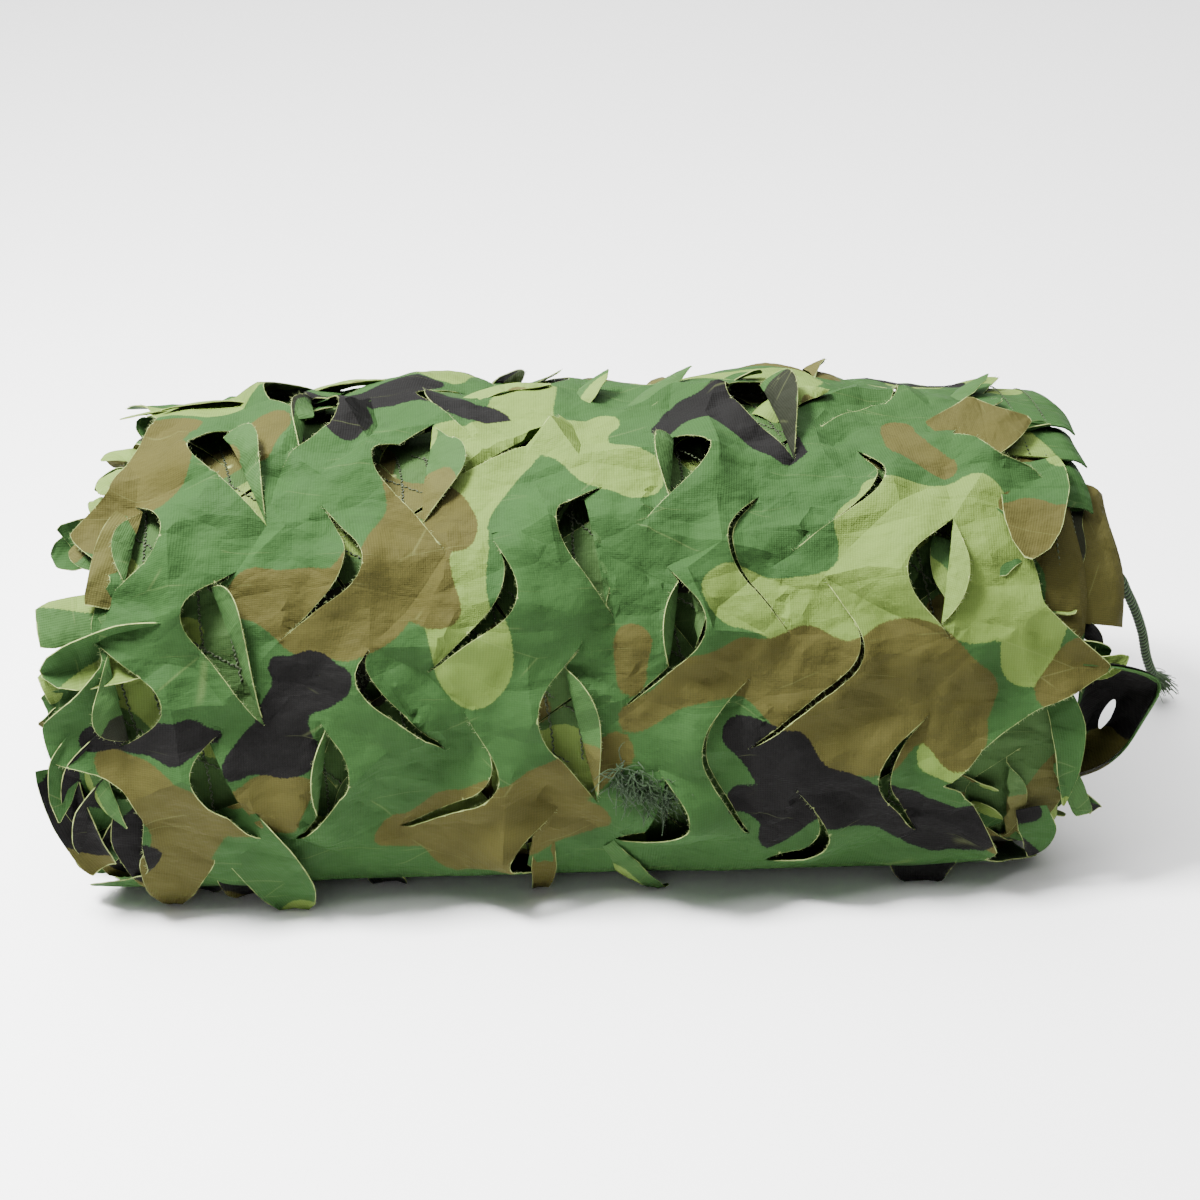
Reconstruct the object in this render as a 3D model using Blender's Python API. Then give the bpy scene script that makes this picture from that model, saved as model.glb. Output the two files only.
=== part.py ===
"""A camouflage net, folded to a strip and rolled up into a flattened bundle.

The net is one sheet. Its strip of folded layers winds round the core, and its last turn is
the single leaf cloth, cut all over with chevrons whose tongues curl up. The bundle lies
along X, its front is -Y, and it rests on the plane z = 0 with the origin under its middle.
"""
import math
import random

import bpy
import numpy as np
from mathutils import Vector
from mathutils.geometry import delaunay_2d_cdt

MM = 0.001

# ---- driving dimensions, in metres ------------------------------------------------------
LEAF_THICK = 2.4 * MM       # the single cloth of the last turn
STRIP_THICK = 13.2 * MM     # the folded strip: eight layers of cloth
SKIN_GAP = 1.6 * MM         # between the last turn and the strip under it
TURN_GAP = 1.2 * MM         # between two turns of the strip
STRIP_TURNS = 6             # turns of the strip under the last turn
SEAM_RUN = 40 * MM          # stretch under the bundle where each turn steps over the last
OUTER_END_GAP = 9 * MM      # from the sheet's outer end to the seam

HALF_DEPTH = 124 * MM       # the section's half size along Y
HALF_HEIGHT = 97.5 * MM     # and along Z
CORE_Z = 97.5 * MM          # height of the roll's core

TAPER_FROM = 130 * MM       # the section draws in beyond this distance from the middle
TAPER_RUN = 110 * MM
TAPER = 0.08
SLUMP = 8 * MM              # the left end leans to the front
SLUMP_OVER = (90 * MM, 250 * MM)        # between these distances left of the middle
PUFF = 5 * MM               # how far the loose last turn stands off, at most
PUFF_FADE_X = (160 * MM, 230 * MM)      # it fades out between these distances from the middle
PUFF_FADE_Z = (12 * MM, 62 * MM)        # and between these heights above the table
SWELLS = (
    # share, then the radian lengths in millimetres along x and round s, and the phase
    (0.5, 46, 41, -0.27), (0.5, 46, -41, 2.87), (0.6, 29, -34, -1.57),
)

MIDDLE = (7.5 * MM, 2 * MM)    # of the finished bundle, in the section's own axes

# ---- the section at the middle of the bundle: its outer face, from the seam -------------
SECTION = (
    # y, z in millimetres; under the bundle to the front, up, over and down the back
    (60, 0), (0, 0), (-60, 0), (-92, 3), (-113, 17), (-122, 44), (-122, 76),
    (-114, 110), (-102, 141), (-85, 166), (-58, 184), (-18, 194), (32, 195), (74, 186),
    (104, 163), (120, 126), (124, 84), (119, 41), (105, 13), (85, 2),
)
CURVE_STEPS = 24            # straight steps of the section between two of its points
RING_STEPS = 2              # of which the outer turns of the strip have this many corners
FINE_TURNS = 2              # and the turns further in have one

# ---- where the sheet's two long edges end: share of the way round, left and right in mm --
STRIP_ENDS = (
    (0.00, -222, 222), (0.22, -226, 216), (0.36, -230, 219), (0.44, -226, 228),
    (0.55, -220, 238), (0.70, -220, 232), (0.85, -224, 226), (1.00, -222, 222),
)
LEAF_ENDS = (
    (0.00, -222, 222), (0.05, -228, 216), (0.20, -234, 214), (0.28, -238, 216),
    (0.35, -236, 208), (0.44, -224, 200), (0.52, -218, 210), (0.60, -220, 214),
    (0.69, -222, 214), (0.83, -230, 216), (1.00, -228, 222),
)
TELESCOPE = (
    # turns in from the outer end, shift of the left end and of the right end in mm
    (1, 0, 0), (2, 5, -2), (3, -4, 3), (4, 3, -3), (5, -3, 2), (6, 4, -5), (7, -1, 3),
)
STRIP_STATIONS = (-0.52, 0.52)  # inner stations of the strip, as shares of its half width

# ---- the cuts ---------------------------------------------------------------------------
COLUMN_PITCH = 80.7 * MM
ROW_PITCH = 86.2 * MM
PATTERN_TURN = 0.187        # the cloth was rolled up this much askew, in radians
FIRST_CUT = (62.8 * MM, 340.6 * MM)     # x and s of the pattern's first left-pointing cut
COUNTER_CUT = (-10.2 * MM, 39.9 * MM)   # from there to its right-pointing neighbour
CUTS = {
    # side: upper arm and lower arm from the vertex, along and down the cloth, in millimetres
    "<": ((20, -28), (37, 40)),
    ">": ((-22, -30), (-41, 48)),
}
VERTEX_RADIUS = 11 * MM
CUT_WIDTH = 3.6 * MM        # at the vertex, before the tongue curls
FOLD_SHARE = 0.15           # of a tongue's turn that is a fold at its root, the rest its curl
HAND_CUTS = {
    # (side, column, row): shift along x and s in mm, curl in degrees, share of the tongue that
    # curls, and the turn of its bend line in degrees
    ("<", 0, 0): (-5, 1, 16, 1.0, 0),
    ("<", 1, 0): (-1, 0, 150, 0.80, -10),
    ("<", -1, 0): (-1, -4, 190, 0.90, 8),
    ("<", -2, 0): (-6, 12, 165, 0.85, -12),
    ("<", 0, 1): (-3, -3, 30, 0.80, 10),
    ("<", 1, 1): (2, 0, 36, 0.90, -8),
    ("<", -1, 1): (7, -1, 170, 0.85, 12),
    ("<", -2, 1): (6, 0, 120, 0.80, -6),
    (">", 0, 0): (5, -8, 90, 0.70, 10),
    (">", 1, 0): (-2, -2, 12, 1.0, 0),
    (">", -1, 0): (-1, 8, 150, 0.70, -14),
    (">", 0, -1): (-1, -2, 200, 0.90, 12),
    (">", 1, -1): (-5, -1, 60, 0.70, -10),
    (">", -1, -1): (-2, 8, 175, 0.85, 10),
    (">", -1, 1): (5, 2, 80, 0.70, 8),
    (">", 1, 1): (0, -2, 46, 0.80, 0),
}
CURLS = (70, 180, 120, 200, 30, 150, 100)   # degrees, dealt in turn to the other cuts
CURL_SHARES = (0.70, 0.90)  # least and most, of the tongue
END_MARGIN = 5 * MM         # least cloth between a cut and the sheet's edge
FLOOR_MARGIN = 8 * MM       # cuts that lie lower than this are pressed shut

# ---- the cut edge's leaf tips -----------------------------------------------------------
TIP_WIDTHS = (34 * MM, 50 * MM)     # least and most
TIP_REACH = (7 * MM, 15 * MM)       # least and most
TIP_SHAPE = ((0.0, -1.0), (0.24, -0.70), (0.54, 1.0), (0.72, 0.84))  # phase, share of reach
TIP_FLARE = 9 * MM
FLARE_FADE_Z = (10 * MM, 40 * MM)

GRID_X = 23 * MM            # spacing of the leaf cloth's free corners
CLEAR_OF_CUT = 7.5 * MM

# ---- the loose corner of the hem, a bight of cloth that stands out of the right end -----
CORNER_FRONT_Y = -105 * MM
CORNER_BACK_Y = -62 * MM
CORNER_THICK = 2 * MM
CORNER_RIMS = (
    # front rim x and z, back rim x and z, in millimetres
    (222.5, 115, 223.5, 86), (240, 113, 244, 85), (255, 108, 255, 78), (259, 101, 258, 68),
    (254, 86, 256, 56), (247, 70, 251, 46), (237, 60, 244, 38), (222.5, 54, 223.5, 33),
)

# ---- the edge cord's loose end ----------------------------------------------------------
CORD_DIAMETER = 4.5 * MM
CORD_STEP = 9 * MM
CORD_ROUTE = (
    # x, y, z in millimetres: out of the core, over, and down to the table behind the corner
    (240, -12, 111), (249, -9, 112), (258, -4, 111.5), (266.6, 0, 107.5), (274, 8, 95),
    (282.5, 18, 79.6), (291.5, 30, 60.5), (299.4, 43, 39.8), (305.4, 51, 27), (309, 56, 21),
)
FRAY_TIP = np.array((322, 69, 5)) * MM
FRAY_THREADS = 10
FRAY_SECTIONS = (
    # share of the way to the tip, radius of the threads and of the grooves in millimetres
    (0.0, 2.1, 1.9), (0.35, 3.3, 2.0), (1.0, 6.8, 2.4),
)
FRAY_RAGGED = 4 * MM


def clear_objects():
    for thing in list(bpy.data.objects):
        bpy.data.objects.remove(thing, do_unlink=True)


def make_material(name, colour, roughness):
    material = bpy.data.materials.new(name)
    material.use_nodes = True
    shader = material.node_tree.nodes["Principled BSDF"]
    shader.inputs["Base Color"].default_value = (*colour, 1.0)
    shader.inputs["Roughness"].default_value = roughness
    shader.inputs["Metallic"].default_value = 0.0
    return material


def add_mesh(name, corners, faces, material):
    mesh = bpy.data.meshes.new(name)
    mesh.from_pydata([tuple(corner) for corner in corners], [], [tuple(face) for face in faces])
    mesh.validate()
    thing = bpy.data.objects.new(name, mesh)
    bpy.context.scene.collection.objects.link(thing)
    thing.data.materials.append(material)
    return thing


# ---- the section and the roll -----------------------------------------------------------
def smooth_loop(points, steps):
    """A closed Catmull-Rom curve through the points, with its first point again at the end."""
    count = len(points)
    t = np.linspace(0.0, 1.0, steps, endpoint=False)[:, None]
    spans = []
    for index in range(count):
        before, start = points[index - 1], points[index]
        end, after = points[(index + 1) % count], points[(index + 2) % count]
        slope = end - before
        bend = 2 * before - 5 * start + 4 * end - after
        twist = 3 * start - before - 3 * end + after
        spans.append(0.5 * (2 * start + slope * t + bend * t ** 2 + twist * t ** 3))
    curve = np.concatenate(spans)
    return np.vstack([curve, curve[:1]])


CURVE = smooth_loop(np.array(SECTION, float) * MM, CURVE_STEPS)
CURVE[:, 1] = np.maximum(CURVE[:, 1], 0.0)
ARC = np.concatenate([[0.0], np.cumsum(np.linalg.norm(np.diff(CURVE, axis=0), axis=1))])
GIRTH = ARC[-1]


def inside_loop(points, loop):
    """Which points lie inside a closed loop, by counting crossings of rays along +X."""
    points = np.asarray(points, float)
    start, end = loop, np.roll(loop, -1, axis=0)
    level = points[:, 1][:, None]
    crosses = (start[:, 1] > level) != (end[:, 1] > level)
    rise = end[:, 1] - start[:, 1]
    rise = np.where(rise == 0.0, 1.0, rise)
    reach = start[:, 0] + (level - start[:, 1]) * (end[:, 0] - start[:, 0]) / rise
    return np.sum(crosses & (reach > points[:, 0][:, None]), axis=1) % 2 == 1


def ease(t):
    t = np.clip(t, 0.0, 1.0)
    return t * t * (3.0 - 2.0 * t)


def ease_between(value, ends):
    """0 below the first end, 1 past the second, smooth between."""
    return ease((value - ends[0]) / (ends[1] - ends[0]))


def puff(x, s, z):
    """How far the last turn stands off the roll: long low swells that die out at the floor."""
    swell = sum(share * np.cos(x / (MM * along) + s / (MM * round_s) + phase)
                for share, along, round_s, phase in SWELLS)
    inside = 1.0 - ease_between(np.abs(x), PUFF_FADE_X)
    return PUFF * ease((swell + 0.5) / 2.0) * inside * ease_between(z, PUFF_FADE_Z)


def on_roll(x, s, depth):
    """Points at x along the roll and s round its section, depth under the outer face."""
    x = np.asarray(x, float)
    s = np.asarray(s, float)
    depth = np.asarray(depth, float)
    y = np.interp(s, ARC, CURVE[:, 0])
    z = np.interp(s, ARC, CURVE[:, 1])
    y = y * (1.0 - depth / HALF_DEPTH)
    z = CORE_Z + (z - CORE_Z) * (1.0 - depth / HALF_HEIGHT)
    draw = 1.0 - TAPER * np.clip((np.abs(x) - TAPER_FROM) / TAPER_RUN, 0.0, 1.5) ** 2
    lean = SLUMP * ease_between(-x, SLUMP_OVER)
    return np.stack([x + 0.0 * y, y * draw - lean, z * draw], axis=-1)


def outer_depth(turn):
    """Depth of the outer face of a turn, counted inwards from the last one."""
    if turn == 0:
        return 0.0
    return LEAF_THICK + SKIN_GAP + (turn - 1) * (STRIP_THICK + TURN_GAP)


def face_depths(turn, s):
    """Depths of both faces of a turn at s; it steps up from the turn inside it at the seam."""
    climb = float(ease(s / SEAM_RUN))
    thick = LEAF_THICK if turn == 0 else STRIP_THICK
    outer = (1.0 - climb) * outer_depth(turn + 1) + climb * outer_depth(turn)
    return outer, outer + (1.0 - climb) * STRIP_THICK + climb * thick


def edge_at(turn, s):
    """Left and right end of the sheet at a place on its way out from the core."""
    ends = np.array(STRIP_ENDS if turn else LEAF_ENDS, float)
    shifts = np.array(TELESCOPE, float)
    share = s / GIRTH
    turns_in = turn + 1.0 - share
    both = []
    for side in (1, 2):
        end = np.interp(share, ends[:, 0], ends[:, side])
        if turn:
            end += np.interp(turns_in, shifts[:, 0], shifts[:, side])
        both.append(end * MM)
    return tuple(both)


# ---- the cuts ---------------------------------------------------------------------------
class Cut:
    """One chevron cut: its edge, and the tongue inside it that bends about a line."""

    def __init__(self, side, column, row, deal):
        shift_x, shift_s, curl, share, turn = HAND_CUTS.get((side, column, row), deal)
        offset = COUNTER_CUT if side == ">" else (0.0, 0.0)
        along = column * COLUMN_PITCH + offset[0]
        down = row * ROW_PITCH + offset[1]
        cos, sin = math.cos(PATTERN_TURN), math.sin(PATTERN_TURN)
        self.axes = np.array([[cos, -sin], [-sin, -cos]])
        self.vertex = np.array(FIRST_CUT) + self.axes @ np.array([along, down])
        self.vertex += np.array([shift_x, shift_s]) * MM
        self.upper, self.lower = [self.axes @ (np.array(arm) * MM) for arm in CUTS[side]]
        self.lift(curl, share, turn)

    def lift(self, curl, share, turn):
        """Place the bend line: through both arm ends at share 1, nearer to the vertex below."""
        start, end = self.vertex + self.upper, self.vertex + self.lower
        along = (end - start) / np.linalg.norm(end - start)
        normal = np.array([along[1], -along[0]])
        if normal @ (self.vertex - start) < 0:
            normal = -normal
        depth = normal @ (self.vertex - start)
        angle = math.radians(turn)
        cos, sin = math.cos(angle), math.sin(angle)
        self.towards = np.array([cos * normal[0] - sin * normal[1], sin * normal[0] + cos * normal[1]])
        ends = [self.towards @ (point - self.vertex) for point in (start, end)]
        self.reach = min(-max(ends), share * depth)
        self.fold = FOLD_SHARE * math.radians(curl)
        self.bend = (math.radians(curl) - self.fold) / self.reach

    def outline(self):
        """The cut as the parent cloth's edge, then the tongue's own edge back again."""
        up = self.upper / np.linalg.norm(self.upper)
        low = self.lower / np.linalg.norm(self.lower)
        half = 0.5 * math.acos(up @ low)
        tangent = VERTEX_RADIUS / math.tan(half)
        inward = (up + low) / np.linalg.norm(up + low)
        centre = VERTEX_RADIUS / math.sin(half) * inward
        first, last = up * tangent, low * tangent
        middle = centre - inward * VERTEX_RADIUS
        edge = [self.upper, 0.5 * (self.upper + first), first, middle, last,
                0.5 * (self.lower + last), self.lower]
        tongue = [edge[5] + 0.55 * CUT_WIDTH * inward, last + 0.9 * CUT_WIDTH * inward,
                  middle + CUT_WIDTH * inward, first + 0.9 * CUT_WIDTH * inward,
                  edge[1] + 0.55 * CUT_WIDTH * inward]
        return self.vertex + np.array(edge + tongue)

    def ribs(self):
        """Corners inside the tongue and along its root, so that it can bend."""
        up, low = self.upper, self.lower
        inner = [0.36 * up + 0.33 * low, 0.62 * up + 0.22 * low, 0.28 * up + 0.58 * low]
        root = [0.70 * up + 0.36 * low, 0.36 * up + 0.70 * low]
        return self.vertex + np.array(inner + root)

    def holds(self, points):
        """Which points lie in the tongue, its own edge included."""
        outline = self.outline()
        cut_edge = outline[7:] + 0.3 * (outline[3] - outline[9])
        return inside_loop(points, np.vstack([outline[0], cut_edge[::-1], outline[6]]))

    def bent(self, points):
        """Fold at the bend line, then curl evenly: places, lifts and slopes of the points.

        A point a past the line slopes by fold + bend * a. The integrals of that slope's cosine
        and sine are how far it lies along the cloth and above it.
        """
        past = np.maximum((points - self.vertex) @ self.towards + self.reach, 0.0)
        angle = self.fold + self.bend * past
        along = (np.sin(angle) - math.sin(self.fold)) / self.bend - past
        lift = (math.cos(self.fold) - np.cos(angle)) / self.bend
        return points + along[:, None] * self.towards, lift, np.where(past > 0.0, angle, 0.0)


def all_cuts():
    """Every cut of the pattern that lies clear of the sheet's edges and of the floor."""
    cuts = []
    dealer = random.Random(7)
    for row in range(-5, 5):
        for column in range(-5, 5):
            for side in ("<", ">"):
                curl = CURLS[(3 * row + 2 * column + (side == ">")) % len(CURLS)]
                deal = (dealer.uniform(-4, 4), dealer.uniform(-4, 4), curl,
                        dealer.uniform(*CURL_SHARES), dealer.uniform(-12, 12))
                cut = Cut(side, column, row, deal)
                outline = cut.outline()
                if outline[:, 1].min() < SEAM_RUN + END_MARGIN:
                    continue
                if outline[:, 1].max() > GIRTH - OUTER_END_GAP - END_MARGIN:
                    continue
                low = on_roll(outline[:, 0], outline[:, 1], 0.0)[:, 2].min()
                left, right = np.array([edge_at(0, s) for s in outline[:, 1]]).T
                room = TIP_REACH[1] + END_MARGIN
                clear = np.all(outline[:, 0] > left + room) and np.all(outline[:, 0] < right - room)
                if low > FLOOR_MARGIN and clear:
                    cuts.append(cut)
    return cuts


# ---- the net ----------------------------------------------------------------------------
class Sheet:
    """Both faces of one sheet, joined by walls wherever it ends or is cut."""

    def __init__(self):
        self.outer = []
        self.inner = []
        self.faces = []

    def add(self, outer, inner):
        first = len(self.outer)
        self.outer.extend(outer)
        self.inner.extend(inner)
        return list(range(first, len(self.outer)))

    def solid(self):
        """All corners and triangles: the outer face, the inner face and the walls."""
        count = len(self.outer)
        edges = set()
        for face in self.faces:
            for index in range(3):
                edges.add((face[index], face[(index + 1) % 3]))
        walls = []
        for start, end in sorted(edges):
            if (end, start) not in edges:
                walls.append((end, start, start + count))
                walls.append((end, start + count, end + count))
        backs = [(a + count, c + count, b + count) for a, b, c in self.faces]
        return self.outer + self.inner, self.faces + backs + walls


def strip_row(sheet, turn, s):
    """One row of corners across the sheet, from its left edge to its right edge."""
    left, right = edge_at(turn, s)
    middle, half = 0.5 * (left + right), 0.5 * (right - left)
    x = np.array([left] + [middle + share * half for share in STRIP_STATIONS] + [right])
    outer, inner = face_depths(turn, s)
    return sheet.add(on_roll(x, np.full(len(x), s), outer), on_roll(x, np.full(len(x), s), inner)), x


def join_rows(sheet, before, after):
    for index in range(len(before) - 1):
        a, b = before[index], before[index + 1]
        c, d = after[index], after[index + 1]
        sheet.faces.append((a, b, c))
        sheet.faces.append((b, d, c))


def wind_strip(sheet):
    """Wind the strip from the core out to the start of the last turn; returns its last row."""
    row = None
    for turn in range(STRIP_TURNS, 0, -1):
        steps = RING_STEPS if turn <= FINE_TURNS else 1
        for s in ARC[::CURVE_STEPS // steps][:-1]:
            new_row, _ = strip_row(sheet, turn, s)
            if row is not None:
                join_rows(sheet, row, new_row)
            row = new_row
    for share in (0.0, 0.33, 0.67, 1.0):
        new_row, x = strip_row(sheet, 0, share * SEAM_RUN)
        join_rows(sheet, row, new_row)
        row = new_row
    return row, x


def tip_line(side):
    """The leaf tips down one end of the last turn: corners with s rising, and their flare."""
    corners = []
    flare = []
    dealer = random.Random(21 + side)
    start = SEAM_RUN
    stop = GIRTH - OUTER_END_GAP
    while start < stop - TIP_WIDTHS[0]:
        width = min(dealer.uniform(*TIP_WIDTHS), stop - start)
        reach = dealer.uniform(*TIP_REACH)
        bend = dealer.uniform(-0.4, 1.0)
        for phase, share in TIP_SHAPE:
            s = start + phase * width
            if s > SEAM_RUN:
                out = share * reach
                corners.append((edge_at(0, s)[side] + (out if side else -out), s))
                flare.append(TIP_FLARE * bend * max(share, 0.0))
        start += width
    return corners, flare


def leaf_cloth(sheet, seam_row, seam_x):
    """The last turn: a triangulated sheet with its cuts open, joined on at the seam."""
    s_end = GIRTH - OUTER_END_GAP
    left_tips, left_flare = tip_line(0)
    right_tips, right_flare = tip_line(1)
    end_x = np.linspace(edge_at(0, s_end)[0] + 0.01, edge_at(0, s_end)[1] - 0.01, len(seam_x))
    border = [(x, SEAM_RUN) for x in seam_x] + right_tips
    border += [(x, s_end) for x in end_x[::-1]] + left_tips[::-1]
    flare = [0.0] * len(seam_x) + right_flare + [0.0] * len(end_x) + left_flare[::-1]
    points = list(border)
    edges = [(index, (index + 1) % len(border)) for index in range(len(border))]
    cuts = all_cuts()
    holes = []
    for cut in cuts:
        ring = cut.outline()
        first = len(points)
        points.extend(map(tuple, ring))
        edges += [(first + i, first + (i + 1) % len(ring)) for i in range(len(ring))]
        holes.append(ring)
    for cut in cuts:
        points.extend(map(tuple, cut.ribs()))
    points.extend(free_corners(border, holes))
    flat = [Vector(point) for point in points]
    found, _, triangles, _, _, _ = delaunay_2d_cdt(flat, edges, [], 0, 1e-7)
    if len(found) != len(points):
        raise ValueError("cuts cross each other or the sheet's edge")
    plane = np.array([tuple(point) for point in found])
    centres = plane[np.array(triangles)].mean(axis=1)
    cloth = inside_loop(centres, np.array(border))
    for hole in holes:
        cloth &= ~inside_loop(centres, hole)
    kept = [ordered(triangle, plane) for triangle, keep in zip(triangles, cloth) if keep]
    lifted = np.zeros(len(plane))
    lifted[:len(flare)] = flare
    index = place_leaf(sheet, plane, lifted, cuts, seam_row)
    sheet.faces += [tuple(index[corner] for corner in triangle) for triangle in kept]
    return len(cuts)


def place_leaf(sheet, plane, flare, cuts, seam_row):
    """Put the flat corners on the roll, with the tongues bent up; returns their numbers."""
    outer_at, inner_at = plane.copy(), plane.copy()
    level = np.interp(plane[:, 1], ARC, CURVE[:, 1])
    rise = puff(plane[:, 0], plane[:, 1], level)
    rise += flare * ease_between(level, FLARE_FADE_Z)
    outer_rise, inner_rise = rise.copy(), rise - LEAF_THICK
    for cut in cuts:
        mine = cut.holds(plane)
        moved, lift, angle = cut.bent(plane[mine])
        outer_at[mine] = moved
        inner_at[mine] = moved + (LEAF_THICK * np.sin(angle))[:, None] * cut.towards
        outer_rise[mine] = rise[mine] + lift
        inner_rise[mine] = rise[mine] + lift - LEAF_THICK * np.cos(angle)
    outer = on_roll(outer_at[:, 0], outer_at[:, 1], -outer_rise)
    inner = on_roll(inner_at[:, 0], inner_at[:, 1], -inner_rise)
    sunk = np.maximum(-np.minimum(outer[:, 2], inner[:, 2]), 0.0)
    outer[:, 2] += sunk
    inner[:, 2] += sunk
    joined = len(seam_row)
    return list(seam_row) + sheet.add(outer[joined:], inner[joined:])


def free_corners(border, holes):
    """A loose grid over the sheet, closer where the section bends, clear of every edge."""
    corners = []
    for number, s in enumerate(ARC[::CURVE_STEPS // 2]):
        if SEAM_RUN + CLEAR_OF_CUT < s < GIRTH - OUTER_END_GAP - CLEAR_OF_CUT:
            left, right = edge_at(0, s)
            shift = TIP_REACH[1] + 0.5 * (number % 2) * GRID_X
            corners += [(x, s) for x in np.arange(left + shift, right - TIP_REACH[1], GRID_X)]
    corners = np.array(corners)
    taken = np.concatenate([np.array(border)] + holes)
    gaps = np.abs(corners[:, None] - taken[None]).max(axis=2).min(axis=1)
    free = gaps > CLEAR_OF_CUT
    for hole in holes:
        free &= ~inside_loop(corners, hole)
    return [tuple(corner) for corner in corners[free]]


def ordered(triangle, plane):
    """The triangle's corners in the turn that makes its face point out of the roll."""
    a, b, c = (plane[corner] for corner in triangle)
    if np.cross(b - a, c - a) < 0:
        return (triangle[0], triangle[2], triangle[1])
    return tuple(triangle)


def build_net():
    sheet = Sheet()
    seam_row, seam_x = wind_strip(sheet)
    cut_count = leaf_cloth(sheet, seam_row, seam_x)
    corners, faces = sheet.solid()
    print("cuts through the net:", cut_count, "triangles:", len(faces))
    return add_mesh("rolled_net", corners, faces, make_material("net_cloth", (0.12, 0.22, 0.09), 0.8))


# ---- the loose corner and the cord ------------------------------------------------------
def build_corner(material):
    """A bight of cloth: a strip from its front rim to its narrower back rim, given thickness."""
    corners = []
    for share in (0.0, 0.5, 1.0):
        y = CORNER_FRONT_Y + share * (CORNER_BACK_Y - CORNER_FRONT_Y)
        for front_x, front_z, back_x, back_z in CORNER_RIMS:
            x = front_x + share * (back_x - front_x)
            z = front_z + share * (back_z - front_z)
            corners.append((x * MM, y, z * MM))
    width = len(CORNER_RIMS)
    faces = []
    for row in range(2):
        for column in range(width - 1):
            first = row * width + column
            faces.append((first, first + width, first + width + 1, first + 1))
    thing = add_mesh("loose_corner", corners, faces, material)
    solidify = thing.modifiers.new("cloth", "SOLIDIFY")
    solidify.thickness = CORNER_THICK
    solidify.offset = 0.0
    return thing


def smooth_route(points, step):
    """A Catmull-Rom curve through the points, with corners an even step apart."""
    route = np.array(points, float) * MM
    padded = np.vstack([2 * route[0] - route[1], route, 2 * route[-1] - route[-2]])
    t = np.linspace(0.0, 1.0, 20, endpoint=False)[:, None]
    spans = []
    for before, start, end, after in zip(padded, padded[1:], padded[2:], padded[3:]):
        bend = 2 * before - 5 * start + 4 * end - after
        twist = 3 * start - before - 3 * end + after
        spans.append(0.5 * (2 * start + (end - before) * t + bend * t ** 2 + twist * t ** 3))
    dense = np.vstack(spans + [route[-1:]])
    run = np.concatenate([[0.0], np.cumsum(np.linalg.norm(np.diff(dense, axis=0), axis=1))])
    places = np.linspace(0.0, run[-1], int(round(run[-1] / step)) + 1)
    return np.stack([np.interp(places, run, dense[:, axis]) for axis in range(3)], axis=1)


def build_cord(material):
    route = smooth_route(CORD_ROUTE, CORD_STEP)
    curve = bpy.data.curves.new("edge_cord", "CURVE")
    curve.dimensions = "3D"
    curve.bevel_depth = 0.5 * CORD_DIAMETER
    curve.bevel_resolution = 2
    curve.use_fill_caps = True
    spline = curve.splines.new("POLY")
    spline.points.add(len(route) - 1)
    for point, place in zip(spline.points, route):
        point.co = (*place, 1.0)
    thing = bpy.data.objects.new("edge_cord", curve)
    bpy.context.scene.collection.objects.link(thing)
    curve.materials.append(material)
    return route


def build_fray(route, material):
    """The cord's opened end: rings of threads and grooves from its cut end to the table."""
    axis = FRAY_TIP - route[-1]
    ahead = axis / np.linalg.norm(axis)
    across = np.cross(ahead, (0.0, 0.0, 1.0))
    across /= np.linalg.norm(across)
    upright = np.cross(across, ahead)
    start = route[-1] + ahead * 0.6 * MM
    count = 2 * FRAY_THREADS
    corners = [start]
    for share, thread, groove in FRAY_SECTIONS:
        for index in range(count):
            turn = math.tau * index / count
            radius = (thread if index % 2 == 0 else groove) * MM
            ragged = share * FRAY_RAGGED * math.sin(2.7 * index) * (index % 2 == 0)
            place = start + axis * share + ahead * ragged
            place = place + radius * (math.cos(turn) * across + math.sin(turn) * upright)
            corners.append(place)
    corners.append(start + axis * 0.7)
    corners = np.array(corners)
    corners[:, 2] = np.maximum(corners[:, 2], 0.4 * MM + 0.05 * (corners[:, 0] - route[-1][0]) ** 2)
    faces = []
    last = len(corners) - 1
    for index in range(count):
        after = (index + 1) % count
        faces.append((0, 1 + index, 1 + after))
        for ring in range(len(FRAY_SECTIONS) - 1):
            low, high = 1 + ring * count, 1 + (ring + 1) * count
            faces.append((low + index, high + index, high + after, low + after))
        faces.append((last, last - count + after, last - count + index))
    return add_mesh("cord_fray", corners, faces, material)


def centre_all():
    """Move the whole bundle so that the origin is under the middle of the net and corner."""
    for thing in bpy.data.objects:
        thing.location = (-MIDDLE[0], -MIDDLE[1], 0.0)


def build_all():
    clear_objects()
    build_net()
    build_corner(make_material("hem_cloth", (0.10, 0.17, 0.07), 0.8))
    cord_green = make_material("cord_green", (0.03, 0.06, 0.03), 0.85)
    route = build_cord(cord_green)
    build_fray(route, cord_green)
    centre_all()


build_all()
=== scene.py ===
import math

import bpy
import numpy as np
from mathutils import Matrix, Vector
from mathutils.geometry import delaunay_2d_cdt


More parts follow.
